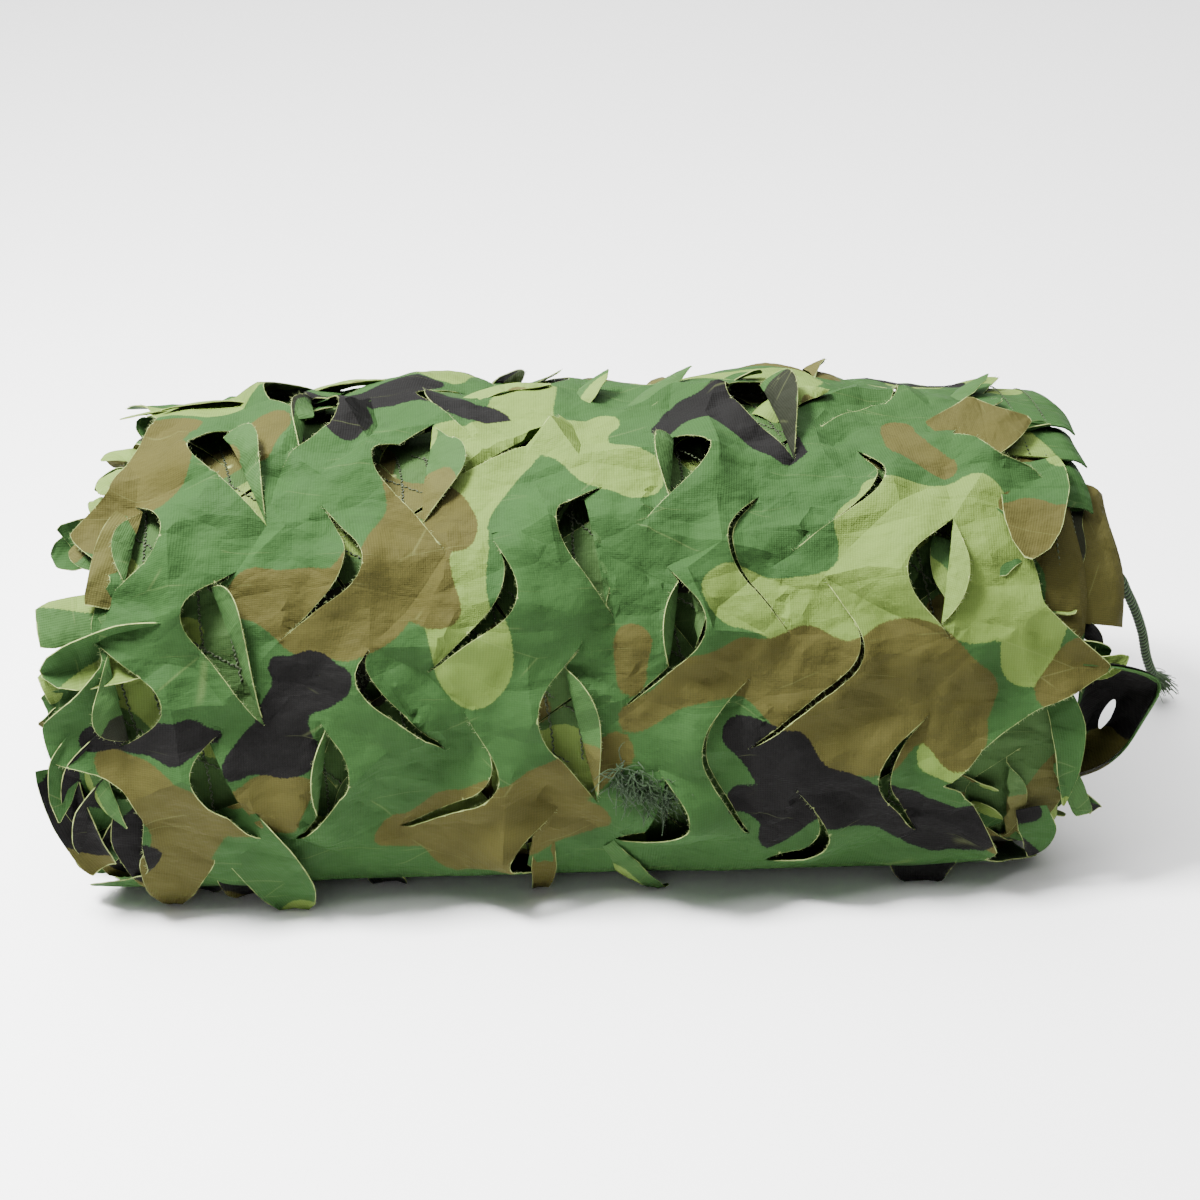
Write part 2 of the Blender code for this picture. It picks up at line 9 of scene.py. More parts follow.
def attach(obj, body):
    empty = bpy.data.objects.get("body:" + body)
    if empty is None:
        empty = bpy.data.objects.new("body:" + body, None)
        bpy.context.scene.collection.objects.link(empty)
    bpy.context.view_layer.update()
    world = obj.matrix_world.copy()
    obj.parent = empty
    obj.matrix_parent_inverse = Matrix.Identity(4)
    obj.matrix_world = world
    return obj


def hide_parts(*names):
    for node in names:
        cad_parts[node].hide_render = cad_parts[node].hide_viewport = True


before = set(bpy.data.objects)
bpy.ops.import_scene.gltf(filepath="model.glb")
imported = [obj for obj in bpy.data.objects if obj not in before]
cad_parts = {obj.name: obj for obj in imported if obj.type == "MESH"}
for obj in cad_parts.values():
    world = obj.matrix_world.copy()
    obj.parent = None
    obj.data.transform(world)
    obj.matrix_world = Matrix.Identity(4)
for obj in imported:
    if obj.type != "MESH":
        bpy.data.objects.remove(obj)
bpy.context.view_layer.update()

MM = 0.001
MIDDLE = np.array((7.5, 2.0, 0.0)) * MM  # of the finished bundle, in the section's axes

# ---- the roll, as in the CAD
LEAF_THICK = 2.4 * MM  # what the CAD gives the last turn
STRIP_THICK = 13.2 * MM  # the folded strip: eight layers of cloth
SKIN_GAP = 1.6 * MM  # between the last turn and the strip
TURN_GAP = 1.2 * MM  # between two turns of the strip
STRIP_TURNS = 6
SEAM_RUN = 40 * MM  # a turn climbs over the start of the one before within this
OUTER_END_GAP = 9 * MM  # the last turn stops this far short of a whole turn
HALF_DEPTH = 124 * MM  # of the section
HALF_HEIGHT = 97.5 * MM
CORE_Z = 97.5 * MM
TAPER_FROM = 130 * MM  # from the middle along x: here the roll starts to draw in
TAPER_RUN = 110 * MM
TAPER_STOP = 1.5  # runs after which it draws in no further
TAPER = 0.08
SLUMP = 8 * MM  # the left end lies this much further forward
SLUMP_OVER = (90 * MM, 250 * MM)
PUFF = 5 * MM  # height of the swells
PUFF_SUMS = (-0.5, 1.5)  # of the cosines: where a swell starts and where it is full
PUFF_FADE_X = (160 * MM, 230 * MM)
PUFF_FADE_Z = (12 * MM, 62 * MM)
# share of the sum, millimetres along x and round s for one radian, phase
SWELLS = ((0.5, 46, 41, -0.27), (0.5, 46, -41, 2.87), (0.6, 29, -34, -1.57))
SECTION = (
    # y, z in millimetres; under the bundle to the front, up, over and down the back
    (60, 0), (0, 0), (-60, 0), (-92, 3), (-113, 17), (-122, 44), (-122, 76),
    (-114, 110), (-102, 141), (-85, 166), (-58, 184), (-18, 194), (32, 195), (74, 186),
    (104, 163), (120, 126), (124, 84), (119, 41), (105, 13), (85, 2),
)
CURVE_STEPS = 24
STRIP_ENDS = (
    # share of the way round, left and right end in millimetres
    (0.00, -222, 222), (0.22, -226, 216), (0.36, -230, 219), (0.44, -226, 228),
    (0.55, -220, 238), (0.70, -220, 232), (0.85, -224, 226), (1.00, -222, 222),
)
TELESCOPE = (
    # turns in from the outer end, shift of the left end and of the right end
    (1, 0, 0), (2, 5, -2), (3, -4, 3), (4, 3, -3), (5, -3, 2), (6, 4, -5), (7, -1, 3),
)


TINY = 1e-9  # least length that anything is divided by


def ease(t):
    """3 t^2 - 2 t^3, with t held between 0 and 1."""
    t = np.clip(t, 0.0, 1.0)
    return t * t * (3.0 - 2.0 * t)


def ease_between(value, ends):
    """0 below the first end, 1 past the second, smooth between."""
    return ease((value - ends[0]) / (ends[1] - ends[0]))


def unit(vectors):
    """The vectors brought to length 1."""
    return vectors / np.maximum(np.linalg.norm(vectors, axis=-1, keepdims=True), TINY)


def catmull(points, steps, closed=False):
    """A Catmull-Rom curve through the points: each span is the usual cubic in four of them."""
    points = np.asarray(points, float)
    if closed:
        padded = np.vstack([points[-1:], points, points[:2]])
    else:
        padded = np.vstack([2 * points[0] - points[1], points, 2 * points[-1] - points[-2]])
    t = np.linspace(0.0, 1.0, steps, endpoint=False)[None, :, None]
    before, start, end, after = (padded[i:len(padded) - 3 + i, None] for i in range(4))
    bend = 2 * before - 5 * start + 4 * end - after
    twist = 3 * start - before - 3 * end + after
    spans = 0.5 * (2 * start + (end - before) * t + bend * t ** 2 + twist * t ** 3)
    return np.vstack([spans.reshape(-1, points.shape[1]), padded[-2:-1]])


def resampled(line, step):
    """The same line with corners an even step apart."""
    run = np.concatenate([[0.0], np.cumsum(np.linalg.norm(np.diff(line, axis=0), axis=1))])
    places = np.linspace(0.0, run[-1], int(run[-1] / step) + 1)
    return np.stack([np.interp(places, run, line[:, i]) for i in range(line.shape[1])], axis=1)


CURVE = catmull(np.array(SECTION) * MM, CURVE_STEPS, closed=True)
CURVE[:, 1] = np.maximum(CURVE[:, 1], 0.0)
ARC = np.concatenate([[0.0], np.cumsum(np.linalg.norm(np.diff(CURVE, axis=0), axis=1))])
GIRTH = ARC[-1]


def height_at(s):
    """The outer face's height above the floor."""
    return np.interp(s, ARC, CURVE[:, 1])


def puff(x, s):
    """Long low swells: three cosines in x and s, faded out at the ends and at the floor."""
    swell = sum(share * np.cos(x / (MM * along) + s / (MM * round_s) + phase)
                for share, along, round_s, phase in SWELLS)
    inside = 1.0 - ease_between(np.abs(x), PUFF_FADE_X)
    return PUFF * ease_between(swell, PUFF_SUMS) * inside * ease_between(height_at(s), PUFF_FADE_Z)


def on_roll(x, s, depth):
    """Points at x along the roll and s round its section, depth under the outer face.

    The section shrinks about its core by 1 - depth / half size. Past TAPER_FROM it draws in
    as the square of the distance, and towards the left end it leans forward.
    """
    x, s, depth = np.broadcast_arrays(*(np.asarray(v, float) for v in (x, s, depth)))
    y = np.interp(s, ARC, CURVE[:, 0]) * (1.0 - depth / HALF_DEPTH)
    z = CORE_Z + (height_at(s) - CORE_Z) * (1.0 - depth / HALF_HEIGHT)
    draw = 1.0 - TAPER * np.clip((np.abs(x) - TAPER_FROM) / TAPER_RUN, 0.0, TAPER_STOP) ** 2
    lean = SLUMP * ease_between(-x, SLUMP_OVER)
    return np.stack([x, y * draw - lean, z * draw], axis=-1)


# ---- meshes
SAME_PLACE = 1e-7  # metres: corners nearer to each other than this are one


def new_object(name, data):
    """An object of this name in the scene."""
    made = bpy.data.objects.new(name, data)
    bpy.context.scene.collection.objects.link(made)
    return made


def inside_loop(points, loop):
    """Which points lie inside a closed loop, by counting crossings of rays along +X."""
    inside = np.zeros(len(points), bool)
    low, high = loop.min(axis=0), loop.max(axis=0)
    near = np.all((points >= low) & (points <= high), axis=1)
    start, end = loop, np.roll(loop, -1, axis=0)
    level = points[near][:, 1][:, None]
    crosses = (start[:, 1] > level) != (end[:, 1] > level)
    rise = end[:, 1] - start[:, 1]
    rise = np.where(rise == 0.0, 1.0, rise)
    reach = start[:, 0] + (level - start[:, 1]) * (end[:, 0] - start[:, 0]) / rise
    inside[near] = np.sum(crosses & (reach > points[near][:, 0][:, None]), axis=1) % 2 == 1
    return inside


def open_edges(faces, count):
    """The directed edges, as pairs, whose reverse belongs to no face."""
    edges = np.vstack([faces[:, [0, 1]], faces[:, [1, 2]], faces[:, [2, 0]]]).astype(np.int64)
    keys = edges[:, 0] * count + edges[:, 1]
    back = edges[:, 1] * count + edges[:, 0]
    return edges[~np.isin(keys, back)]


def normals_of(corners, faces):
    """Corner normals: the faces' normals, weighted by their areas, added up at each corner."""
    a, b, c = (corners[faces[:, i]] for i in range(3))
    face_normals = np.cross(b - a, c - a)
    normals = np.zeros_like(corners)
    for i in range(3):
        np.add.at(normals, faces[:, i], face_normals)
    length = np.linalg.norm(normals, axis=1)[:, None]
    return normals / np.maximum(length, 1e-12)


def grid_faces(rows, columns, first=0):
    """Two triangles for each cell of a grid of rows by columns of corners."""
    a = first + (np.arange(rows - 1)[:, None] * columns + np.arange(columns - 1)).ravel()
    b, c, d = a + 1, a + columns, a + columns + 1
    return np.vstack([np.stack([a, c, b], axis=1), np.stack([b, c, d], axis=1)])


def joined(grids, rows, columns):
    """Grids of one size put together: corners, places on the flat cloth and triangles."""
    corners, flats = (np.vstack(part) for part in zip(*grids))
    firsts = range(0, len(corners), rows * columns)
    return corners, flats, np.vstack([grid_faces(rows, columns, first) for first in firsts])


def add_piece(name, corners, faces, finish, values=None, flat=None, sharp=40.0):
    """Make one mesh of triangles, with each corner's print values and place on the flat cloth."""
    mesh = bpy.data.meshes.new(name)
    mesh.vertices.add(len(corners))
    mesh.vertices.foreach_set("co", (corners - MIDDLE).astype(np.float32).ravel())
    mesh.loops.add(3 * len(faces))
    mesh.loops.foreach_set("vertex_index", faces.astype(np.int32).ravel())
    mesh.polygons.add(len(faces))
    mesh.polygons.foreach_set("loop_start", np.arange(0, 3 * len(faces), 3, dtype=np.int32))
    mesh.update(calc_edges=True)
    for key, value in (values or {}).items():
        layer = mesh.attributes.new(key, "FLOAT", "POINT")
        layer.data.foreach_set("value", value.astype(np.float32))
    if flat is not None:
        uv = mesh.uv_layers.new(name="flat")
        uv.data.foreach_set("uv", flat[faces.ravel()].astype(np.float32).ravel())
    mesh.shade_smooth()
    if sharp:
        mesh.set_sharp_from_angle(angle=math.radians(sharp))
    piece = new_object(name, mesh)
    mesh.materials.append(finish)
    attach(piece, "root")
    return piece


def thicken(corners, faces, values, flat, thick):
    """Give a sheet two faces and a rim: its corners again, moved back along their normals."""
    count = len(corners)
    normals = normals_of(corners, faces)
    rim = open_edges(faces, count)
    start, end = rim[:, 0], rim[:, 1]
    walls = np.vstack([np.stack([end, start, start + count], axis=1),
                       np.stack([end, start + count, end + count], axis=1)])
    both = np.vstack([corners + 0.5 * thick * normals, corners - 0.5 * thick * normals])
    both[:, 2] = np.maximum(both[:, 2], 0.0)
    shell = np.vstack([faces, faces[:, ::-1] + count, walls])
    doubled = {key: np.tile(value, 2) for key, value in values.items()}
    doubled["back"] = np.repeat((0.0, 1.0), count)
    return both, shell, doubled, np.tile(flat, (2, 1))


# ---- the print
REPEAT = np.array((500, 400)) * MM  # of the print, along x and s
REPEAT_FROM = np.array((-250, 150)) * MM
REPEAT_SHIFT = 170 * MM  # each repeat round s steps along by this much
# Each run is a row of round dabs, x, s and radius in millimetres, joined by tapering strokes.
PRINT = {
    "light": (
        ((-30, 462, 14), (-34, 428, 18), (-46, 402, 20), (-58, 374, 17), (-63, 345, 16),
         (-63, 312, 16), (-56, 288, 17)),
        ((-66, 412, 9), (-34, 428, 14)),
        ((-34, 430, 14), (-10, 408, 17), (4, 390, 16), (18, 382, 15)),
        ((-10, 408, 16), (6, 428, 10)),
        ((62, 316, 14), (86, 312, 13), (110, 313, 14), (135, 322, 15), (148, 346, 20),
         (172, 360, 15), (190, 338, 12), (196, 310, 15), (196, 286, 14)),
        ((124, 350, 13), (136, 336, 22), (146, 314, 18)), ((130, 366, 8), (152, 356, 20)),
        ((84, 306, 9), (110, 304, 13), (142, 304, 12)),
        ((130, 318, 18), (164, 322, 22), (172, 308, 14)),
        ((152, 243, 7), (165, 242, 9)),
        ((-210, 478, 16), (-178, 468, 15), (-150, 484, 14)),
        ((40, 500, 14), (60, 480, 10), (104, 470, 14)),
        ((-240, 318, 10), (-244, 300, 6)),
        ((-110, 520, 16), (-70, 505, 12), (-60, 530, 14)),
        ((170, 500, 14), (200, 520, 16), (215, 490, 10)),
    ),
    "brown": (
        ((-246, 364, 14), (-222, 386, 22), (-206, 414, 22), (-196, 440, 14)),
        ((-222, 366, 14), (-196, 396, 16)),
        ((-156, 400, 10), (-150, 424, 12)),
        ((-152, 322, 12), (-130, 316, 18), (-105, 314, 18), (-88, 338, 17), (-72, 358, 17),
         (-62, 352, 12)),
        ((-88, 330, 14), (-74, 318, 13), (-84, 372, 12)),
        ((-216, 250, 8), (-200, 238, 15), (-186, 226, 17), (-192, 200, 14), (-196, 180, 12)),
        ((-168, 226, 10), (-150, 226, 13), (-134, 236, 7)),
        ((-96, 202, 8), (-66, 212, 15), (-45, 222, 14), (-25, 230, 13), (-6, 238, 10),
         (10, 248, 8)),
        ((-66, 198, 14), (-32, 206, 15), (-8, 212, 12)),
        ((15, 298, 9), (14, 280, 6)),
        ((18, 264, 7), (40, 279, 10), (64, 284, 13), (90, 282, 21), (116, 262, 27),
         (142, 278, 27), (162, 266, 20), (166, 252, 14)),
        ((150, 422, 8), (150, 402, 9), (163, 386, 7)),
        ((201, 350, 9), (192, 360, 7)),
        ((207, 272, 8), (222, 290, 12)),
        ((184, 202, 9), (204, 206, 10), (214, 224, 8)),
        ((120, 490, 12), (90, 505, 10), (84, 530, 14)),
        ((-160, 530, 15), (-185, 515, 10)),
        ((0, 520, 16), (20, 535, 12)),
    ),
    "black": (
        ((-150, 472, 8), (-122, 458, 11), (-113, 436, 9), (-112, 421, 10)),
        ((-122, 458, 11), (-96, 463, 13), (-70, 450, 10), (-50, 441, 6), (-38, 438, 2)),
        ((-96, 463, 10), (-78, 482, 10)),
        ((38, 415, 6), (48, 430, 10), (64, 427, 10), (78, 407, 8), (91, 394, 5)),
        ((64, 430, 10), (84, 442, 9), (91, 420, 8), (98, 398, 4)),
        ((-141, 290, 6), (-126, 286, 13), (-114, 287, 7)),
        ((-134, 286, 8), (-140, 268, 11), (-136, 256, 12), (-146, 252, 12), (-162, 246, 6)),
        ((-224, 262, 7), (-206, 266, 9), (-186, 264, 8), (-170, 260, 3)),
        ((64, 254, 7), (74, 250, 12), (84, 244, 16), (92, 232, 13), (84, 216, 12), (80, 206, 8)),
        ((62, 224, 6), (74, 222, 9)),
        ((92, 236, 12), (106, 226, 12), (122, 220, 13), (138, 213, 12), (152, 205, 14),
         (170, 202, 14)),
        ((-224, 190, 8), (-210, 200, 11)),
        ((140, 530, 10), (160, 515, 12), (190, 500, 8)),
        ((-30, 540, 10), (-52, 525, 9)),
    ),
}


def stroke_distance(x, s, start, end):
    """Distance to a stroke that tapers from one dab to the next, negative inside it."""
    run = end[:2] - start[:2]
    along = ((x - start[0]) * run[0] + (s - start[1]) * run[1]) / (run @ run + 1e-12)
    along = np.clip(along, 0.0, 1.0)
    gap = np.hypot(x - start[0] - along * run[0], s - start[1] - along * run[1])
    return gap - (start[2] + along * (end[2] - start[2]))


PRINT_BLEND = 5 * MM  # strokes of one colour flow together over this distance
PRINT_MELT = 0.3 * PRINT_BLEND
DAB_REACH = 60 * MM  # a stroke counts no further than this from its middle
RIPPLE = 1.6 * MM  # of the colours' outlines
FINE_RIPPLE = 0.4 * RIPPLE


def print_values(flat):
    """How far each place lies inside each colour of the print, in millimetres, negative outside.

    A soft minimum joins the strokes: -k log(sum(exp(-d / k))), with k the print's melt. A slow
    ripple of the place keeps the outline from being made of plain arcs.
    """
    turn = np.floor((flat[:, 1] - REPEAT_FROM[1]) / REPEAT[1])
    x = flat[:, 0] + turn * REPEAT_SHIFT
    s = flat[:, 1] - turn * REPEAT[1]
    x = REPEAT_FROM[0] + np.mod(x - REPEAT_FROM[0], REPEAT[0])
    x, s = (x + RIPPLE * np.sin(s / (13 * MM) + 1.0) + FINE_RIPPLE * np.sin(s / (5 * MM)),
            s + RIPPLE * np.sin(x / (11 * MM)) + FINE_RIPPLE * np.sin(x / (4.3 * MM) + 2.0))
    values = {}
    for colour, runs in PRINT.items():
        total = np.full(len(x), 1e-30)
        for run in runs:
            dabs = np.array(run, float) * MM
            for start, end in zip(dabs, dabs[1:]):
                for shift_x, shift_s in ((0, 0), (-1, 0), (1, 0), (0, -1), (0, 1)):
                    step = np.array((shift_x * REPEAT[0] - shift_s * REPEAT_SHIFT,
                                     shift_s * REPEAT[1], 0.0))
                    middle = 0.5 * (start + end) + step
                    near = np.abs(x - middle[0]) < DAB_REACH
                    near &= np.abs(s - middle[1]) < DAB_REACH
                    if near.any():
                        gap = stroke_distance(x[near], s[near], start + step, end + step)
                        total[near] += np.exp(-gap / PRINT_MELT)
        values[colour] = PRINT_MELT * np.log(total) / MM
    return values


def cloth_piece(name, corners, faces, flat, edge, thick, finish, sharp=40.0, shift=0.0):
    """A sheet with its print, which may be shifted, its frayed edges and its two faces."""
    values = print_values(flat + shift)
    values["edge"] = edge
    corners, faces, values, flat = thicken(corners, faces, values, flat, thick)
    return add_piece(name, corners, faces, finish, values, flat, sharp)


# ---- the leaf cuts
COLUMN_PITCH = 80.7 * MM
ROW_PITCH = 86.2 * MM
PATTERN_TURN = 0.187  # the cloth was rolled up this much askew, in radians
FIRST_CUT = np.array((62.8, 340.6)) * MM  # x and s of the pattern's first left-pointing cut
COUNTER_CUT = (-10.2 * MM, 39.9 * MM)  # from there to its right-pointing neighbour
CUTS = {"<": ((20, -28), (37, 40)), ">": ((-22, -30), (-41, 48))}  # both arms, millimetres
VERTEX_DRAW = 4 * MM  # the two arms would meet this far beyond the rounded vertex
FOLD_SHARES = (0.25, 0.93)  # of a tongue's turn that is a fold at its root, the rest its curl:
FOLD_CURLS = (30, 115)  # for tongues that stand up this many degrees and for ones laid back
SHOWN_CUTS = {
    # side, column, row: upper end, vertex and lower end as x and s in millimetres, then the
    # tongue's curl in degrees (below 0 it is tucked under), its share that curls, its bend
    # line's turn and how far the cut is pulled open, in millimetres
    ("<", 0, 0): ((76, 369), (58, 340), (87, 299), 10, 1.0, 0, 2),
    ("<", 1, 0): ((163, 351), (141, 325), (160, 296), 152, 0.92, -6, 10),
    ("<", -1, 0): ((5, 373), (-18, 350), (8, 308), -165, 0.72, 6, 6),
    ("<", -2, 0): ((-72, 422), (-101, 389), (-67, 338), 160, 0.85, -8, 4),
    ("<", -3, 0): ((-158, 427), (-186, 404), (-147, 357), 148, 0.80, 12, 5),
    ("<", 0, 1): ((69, 281), (44, 250), (69, 205), 14, 1.0, 6, 1),
    ("<", 1, 1): ((151, 262), (127, 237), (148, 198), 26, 0.90, -8, 6),
    ("<", -1, 1): ((-7, 299), (-27, 266), (0, 222), 150, 0.85, 8, 5),
    ("<", -2, 1): ((-102, 298), (-105, 284), (-68, 248), 18, 0.90, -4, 8),
    ("<", -3, 1): ((-160, 335), (-186, 318), (-149, 263), 132, 0.80, 10, 4),
    ("<", -3, 2): ((-168, 263), (-184, 248), (-149, 207), -150, 0.70, 8, 4),
    ("<", -1, 2): ((-19, 218), (-42, 200), (-24, 168), -140, 0.60, 0, 5),
    ("<", 0, -1): ((96, 466), (66, 440), (95, 392), 136, 0.85, 8, 4),
    (">", 0, 0): ((33, 332), (50, 303), (12, 267), 128, 0.66, 10, 4),
    (">", 1, 0): ((104, 325), (123, 290), (68, 248), 10, 1.0, 0, 2),
    (">", -1, 0): ((-45, 346), (-37, 318), (-76, 285), 24, 0.85, -8, 11),
    (">", 0, -1): ((38, 408), (57, 391), (21, 349), 138, 0.85, 10, 5),
    (">", 1, -1): ((126, 401), (136, 373), (88, 336), 26, 0.85, -10, 4),
    (">", -1, -1): ((-12, 438), (-20, 414), (-69, 375), -125, 0.90, 0, 7),
    (">", -2, -1): ((-133, 454), (-116, 430), (-143, 388), 128, 0.85, 6, 4),
    (">", -2, 0): ((-122, 366), (-105, 333), (-142, 301), 30, 0.80, 4, 9),
    (">", -3, 0): ((-207, 380), (-191, 354), (-214, 332), 150, 0.85, 0, 3),
    (">", -3, 1): ((-222, 310), (-190, 277), (-214, 258), 140, 0.85, 0, 4),
    (">", -1, 1): ((-59, 268), (-43, 235), (-91, 207), 24, 0.75, -10, 5),
    (">", -2, 1): ((-122, 268), (-111, 243), (-138, 207), 130, 0.80, 6, 4),
    (">", 0, 1): ((27, 240), (42, 220), (8, 196), -150, 0.75, 6, 6),
    (">", 1, 1): ((90, 232), (108, 204), (78, 186), 24, 0.80, 0, 5),
    (">", 1, -2): ((141, 491), (157, 458), (108, 418), 6, 0.85, 0, 1),
}
LATTICE = range(-5, 5)  # rows and columns of the pattern that are tried
CURLS = (30, 162, 148, 22, 165, -150, 155)  # degrees, dealt in turn to the other cuts
CURL_SHARES = (0.70, 0.90)
STIR = 4  # millimetres that a dealt cut is out of the pattern, at most
BEND_TURNS = 12  # degrees that its bend line turns, at most
DEALT_PULL = 4  # millimetres
CUT_ROOM = 34 * MM  # no dealt cut's vertex lies nearer to a listed one's
END_MARGIN = 5 * MM
TIP_ROOM = 15 * MM
FLOOR_MARGIN = 8 * MM  # cuts that lie lower than this are pressed shut
GAPES_FROM = 50  # degrees of curl
ROUND_SHARE = 0.62  # of an arm, at most, goes into the rounded vertex
ROUND_MOST = (19 * MM, 22 * MM)  # and at most this much of the upper and the lower arm
SLIT_POWER = 0.4  # a slit is as wide as this power of a half sine along it
LIP_POWER = 0.7  # and its lips stand as high as this one
LIP_LIFT = 4.2 * MM  # the cloth gapes this much along a cut
LIP_REACH = 10 * MM
LIP_NEAR = 75 * MM
CREST = (435 * MM, 475 * MM)  # past the crest of the roll the cuts gape less
CREST_SHARE = 0.8
CREST_FLATTER = 0.4  # and the cloth's creases are lower by this share
SLIT = 0.9 * MM  # the cut's own width at least
PULL_REACH = 30 * MM
PULL_SHARE = 0.55  # of the pull that moves the cloth beside the cut, the rest the tongue
PULL_MOST = 0.5  # of the tongue's own length, at most, is what the pull takes
PULL_FULL = 0.9  # share of the cut's depth at which the cloth is pulled in full
TUCK_DEPTH = 5.5 * MM  # a tucked tongue lies no deeper
BACK_CLEAR = 1.6 * MM  # a tongue laid back lies this much off the cloth
BACK_RUN = 3 * MM  # and gets there within about this
LINE_PLACES = np.arange(-80, 80, 0.5) * MM  # tried along a bend line for where it ends


class Cut:
    """One chevron cut: its edge, and the tongue inside it that bends about a line."""

    def __init__(self, upper, vertex, lower, curl, share, turn, pull, step):
        self.upper, self.vertex, self.lower = (np.array(p, float) for p in (upper, vertex, lower))
        self.pull = pull * MM
        middle = 0.5 * (self.upper + self.lower)
        inward = middle - self.vertex
        self.inward = inward / np.linalg.norm(inward)
        self.corner = self.vertex - VERTEX_DRAW * self.inward
        self.edge = self.arc(step)
        ahead = unit(np.gradient(self.edge, axis=0))
        across = np.stack([-ahead[:, 1], ahead[:, 0]], axis=1)
        self.across = across * np.sign(across[len(across) // 2] @ self.inward)
        self.open = np.sin(np.pi * np.linspace(0.0, 1.0, len(self.edge)))[:, None] ** SLIT_POWER
        along = (self.lower - self.upper) / np.linalg.norm(self.lower - self.upper)
        normal = np.array([along[1], -along[0]])
        normal = normal * np.sign(normal @ (self.corner - self.upper))
        angle = math.radians(turn)
        cos, sin = math.cos(angle), math.sin(angle)
        self.towards = np.array([cos * normal[0] - sin * normal[1],
                                 sin * normal[0] + cos * normal[1]])
        self.normal = normal
        depth = self.depth = normal @ (self.corner - self.upper)
        ends = max(self.towards @ (self.upper - self.corner),
                   self.towards @ (self.lower - self.corner))
        self.reach = min(-ends, share * depth)
        self.curl = curl
        low, high = FOLD_SHARES
        share = low + (high - low) * float(ease_between(abs(curl), FOLD_CURLS))
        self.fold = share * math.radians(curl)
        self.bend = (math.radians(curl) - self.fold) / self.reach

    def arc(self, step):
        """The cut's line: each arm straight, then one parabola round the vertex, evenly spaced.

        The parabola is (1-t)^2 A + 2t(1-t) C + t^2 B, with C where the two arms would meet.
        """
        run_up, run_low = (np.linalg.norm(p - self.corner) for p in (self.upper, self.lower))
        round_up = min(ROUND_SHARE * run_up, ROUND_MOST[0])
        round_low = min(ROUND_SHARE * run_low, ROUND_MOST[1])
        start = self.corner + (self.upper - self.corner) * round_up / run_up
        end = self.corner + (self.lower - self.corner) * round_low / run_low
        t = np.linspace(0.0, 1.0, 24)[:, None]
        bow = (1 - t) ** 2 * start + 2 * t * (1 - t) * self.corner + t ** 2 * end
        return resampled(np.vstack([self.upper[None], bow, self.lower[None]]), step)

    def outline(self):
        """The cut's edge and the tongue's own edge back again, a slit's width apart."""
        tongue = self.edge + self.open * SLIT * self.across
        return np.vstack([self.edge, tongue[-2:0:-1]])

    def insets(self, gap):
        """Rows of corners beside both edges, so that the frayed edge keeps its width."""
        outside = self.edge - gap * self.across
        inside = self.edge + (SLIT * self.open + gap) * self.across
        return np.vstack([outside, inside[1:-1]])

    def holds(self, points):
        """Which points lie in the tongue, its own edge included."""
        return inside_loop(points, self.edge + self.open * 0.5 * SLIT * self.across)

    def bent(self, points):
        """Fold at the bend line, then curl evenly: places and lifts of the points.

        A point a past the line slopes by fold + bend * a. The integrals of that slope's cosine
        and sine are how far it lies along the cloth and above it. A tucked tongue's depth d
        becomes D (1 - exp(-d / D)), so that it never lies deeper than D.
        """
        past = np.maximum((points - self.corner) @ self.towards + self.reach, 0.0)
        short = past * (1.0 - (1.0 - PULL_SHARE) * min(self.pull / self.reach, PULL_MOST))
        angle = self.fold + self.bend * short
        along = (np.sin(angle) - math.sin(self.fold)) / self.bend - past
        lift = (math.cos(self.fold) - np.cos(angle)) / self.bend
        if self.curl < 0:
            lift = -TUCK_DEPTH * (1.0 - np.exp(lift / TUCK_DEPTH))
        elif self.curl > GAPES_FROM:
            lift = lift + BACK_CLEAR * (1.0 - np.exp(-past / BACK_RUN))
        return points + along[:, None] * self.towards, lift

    def fold_line(self, step):
        """The line that the tongue bends about, from one of its edges to the other."""
        ahead = np.array((-self.towards[1], self.towards[0]))
        line = self.corner - self.reach * self.towards + LINE_PLACES[:, None] * ahead
        line = line[self.holds(line)]
        return resampled(line[[0, -1]], step)

    def lip(self, points):
        """A bell of the distance to the cut's edge, highest along its middle."""
        total = np.zeros(len(points))
        near = np.flatnonzero(np.hypot(*(points - self.vertex).T) < LIP_NEAR)
        gap = np.linalg.norm(points[near, None] - self.edge[None], axis=2)
        nearest = gap.argmin(axis=1)
        middle = np.abs(np.sin(np.pi * nearest / (len(self.edge) - 1.0))) ** LIP_POWER
        total[near] = LIP_LIFT * middle * np.exp(-(gap.min(axis=1) / LIP_REACH) ** 2)
        return total

    def pulled(self, points):
        """How far the cloth round the cut moves away from its tongue: most at the vertex, a
        bell of the distance to it, and nothing past the line between the cut's ends."""
        away = np.hypot(*(points - self.vertex).T)
        before = (points - self.upper) @ self.normal
        share = ease_between(before, (0.0, PULL_FULL * self.depth))
        share = share * np.exp(-(away / PULL_REACH) ** 2)
        return (PULL_SHARE * self.pull * share)[:, None] * self.normal


def lattice(rows, columns, shift, stir, dealer):
    """The pattern's cuts in turn: side, column and row, then the vertex and both arms' ends.

    The lattice's own axes are turned against x and s. Each vertex is stirred a little.
    """
    cos, sin = math.cos(PATTERN_TURN), math.sin(PATTERN_TURN)
    axes = np.array([[cos, -sin], [-sin, -cos]])
    for row in rows:
        for column in columns:
            for side in ("<", ">"):
                offset = COUNTER_CUT if side == ">" else (0.0, 0.0)
                along, down = column * COLUMN_PITCH + offset[0], row * ROW_PITCH + offset[1]
                place = FIRST_CUT + axes @ np.array([along, down])
                place = place + shift + dealer.uniform(-stir, stir, 2) * MM
                arms = [place + axes @ (np.array(arm) * MM) for arm in CUTS[side]]
                yield (side, column, row), place, arms


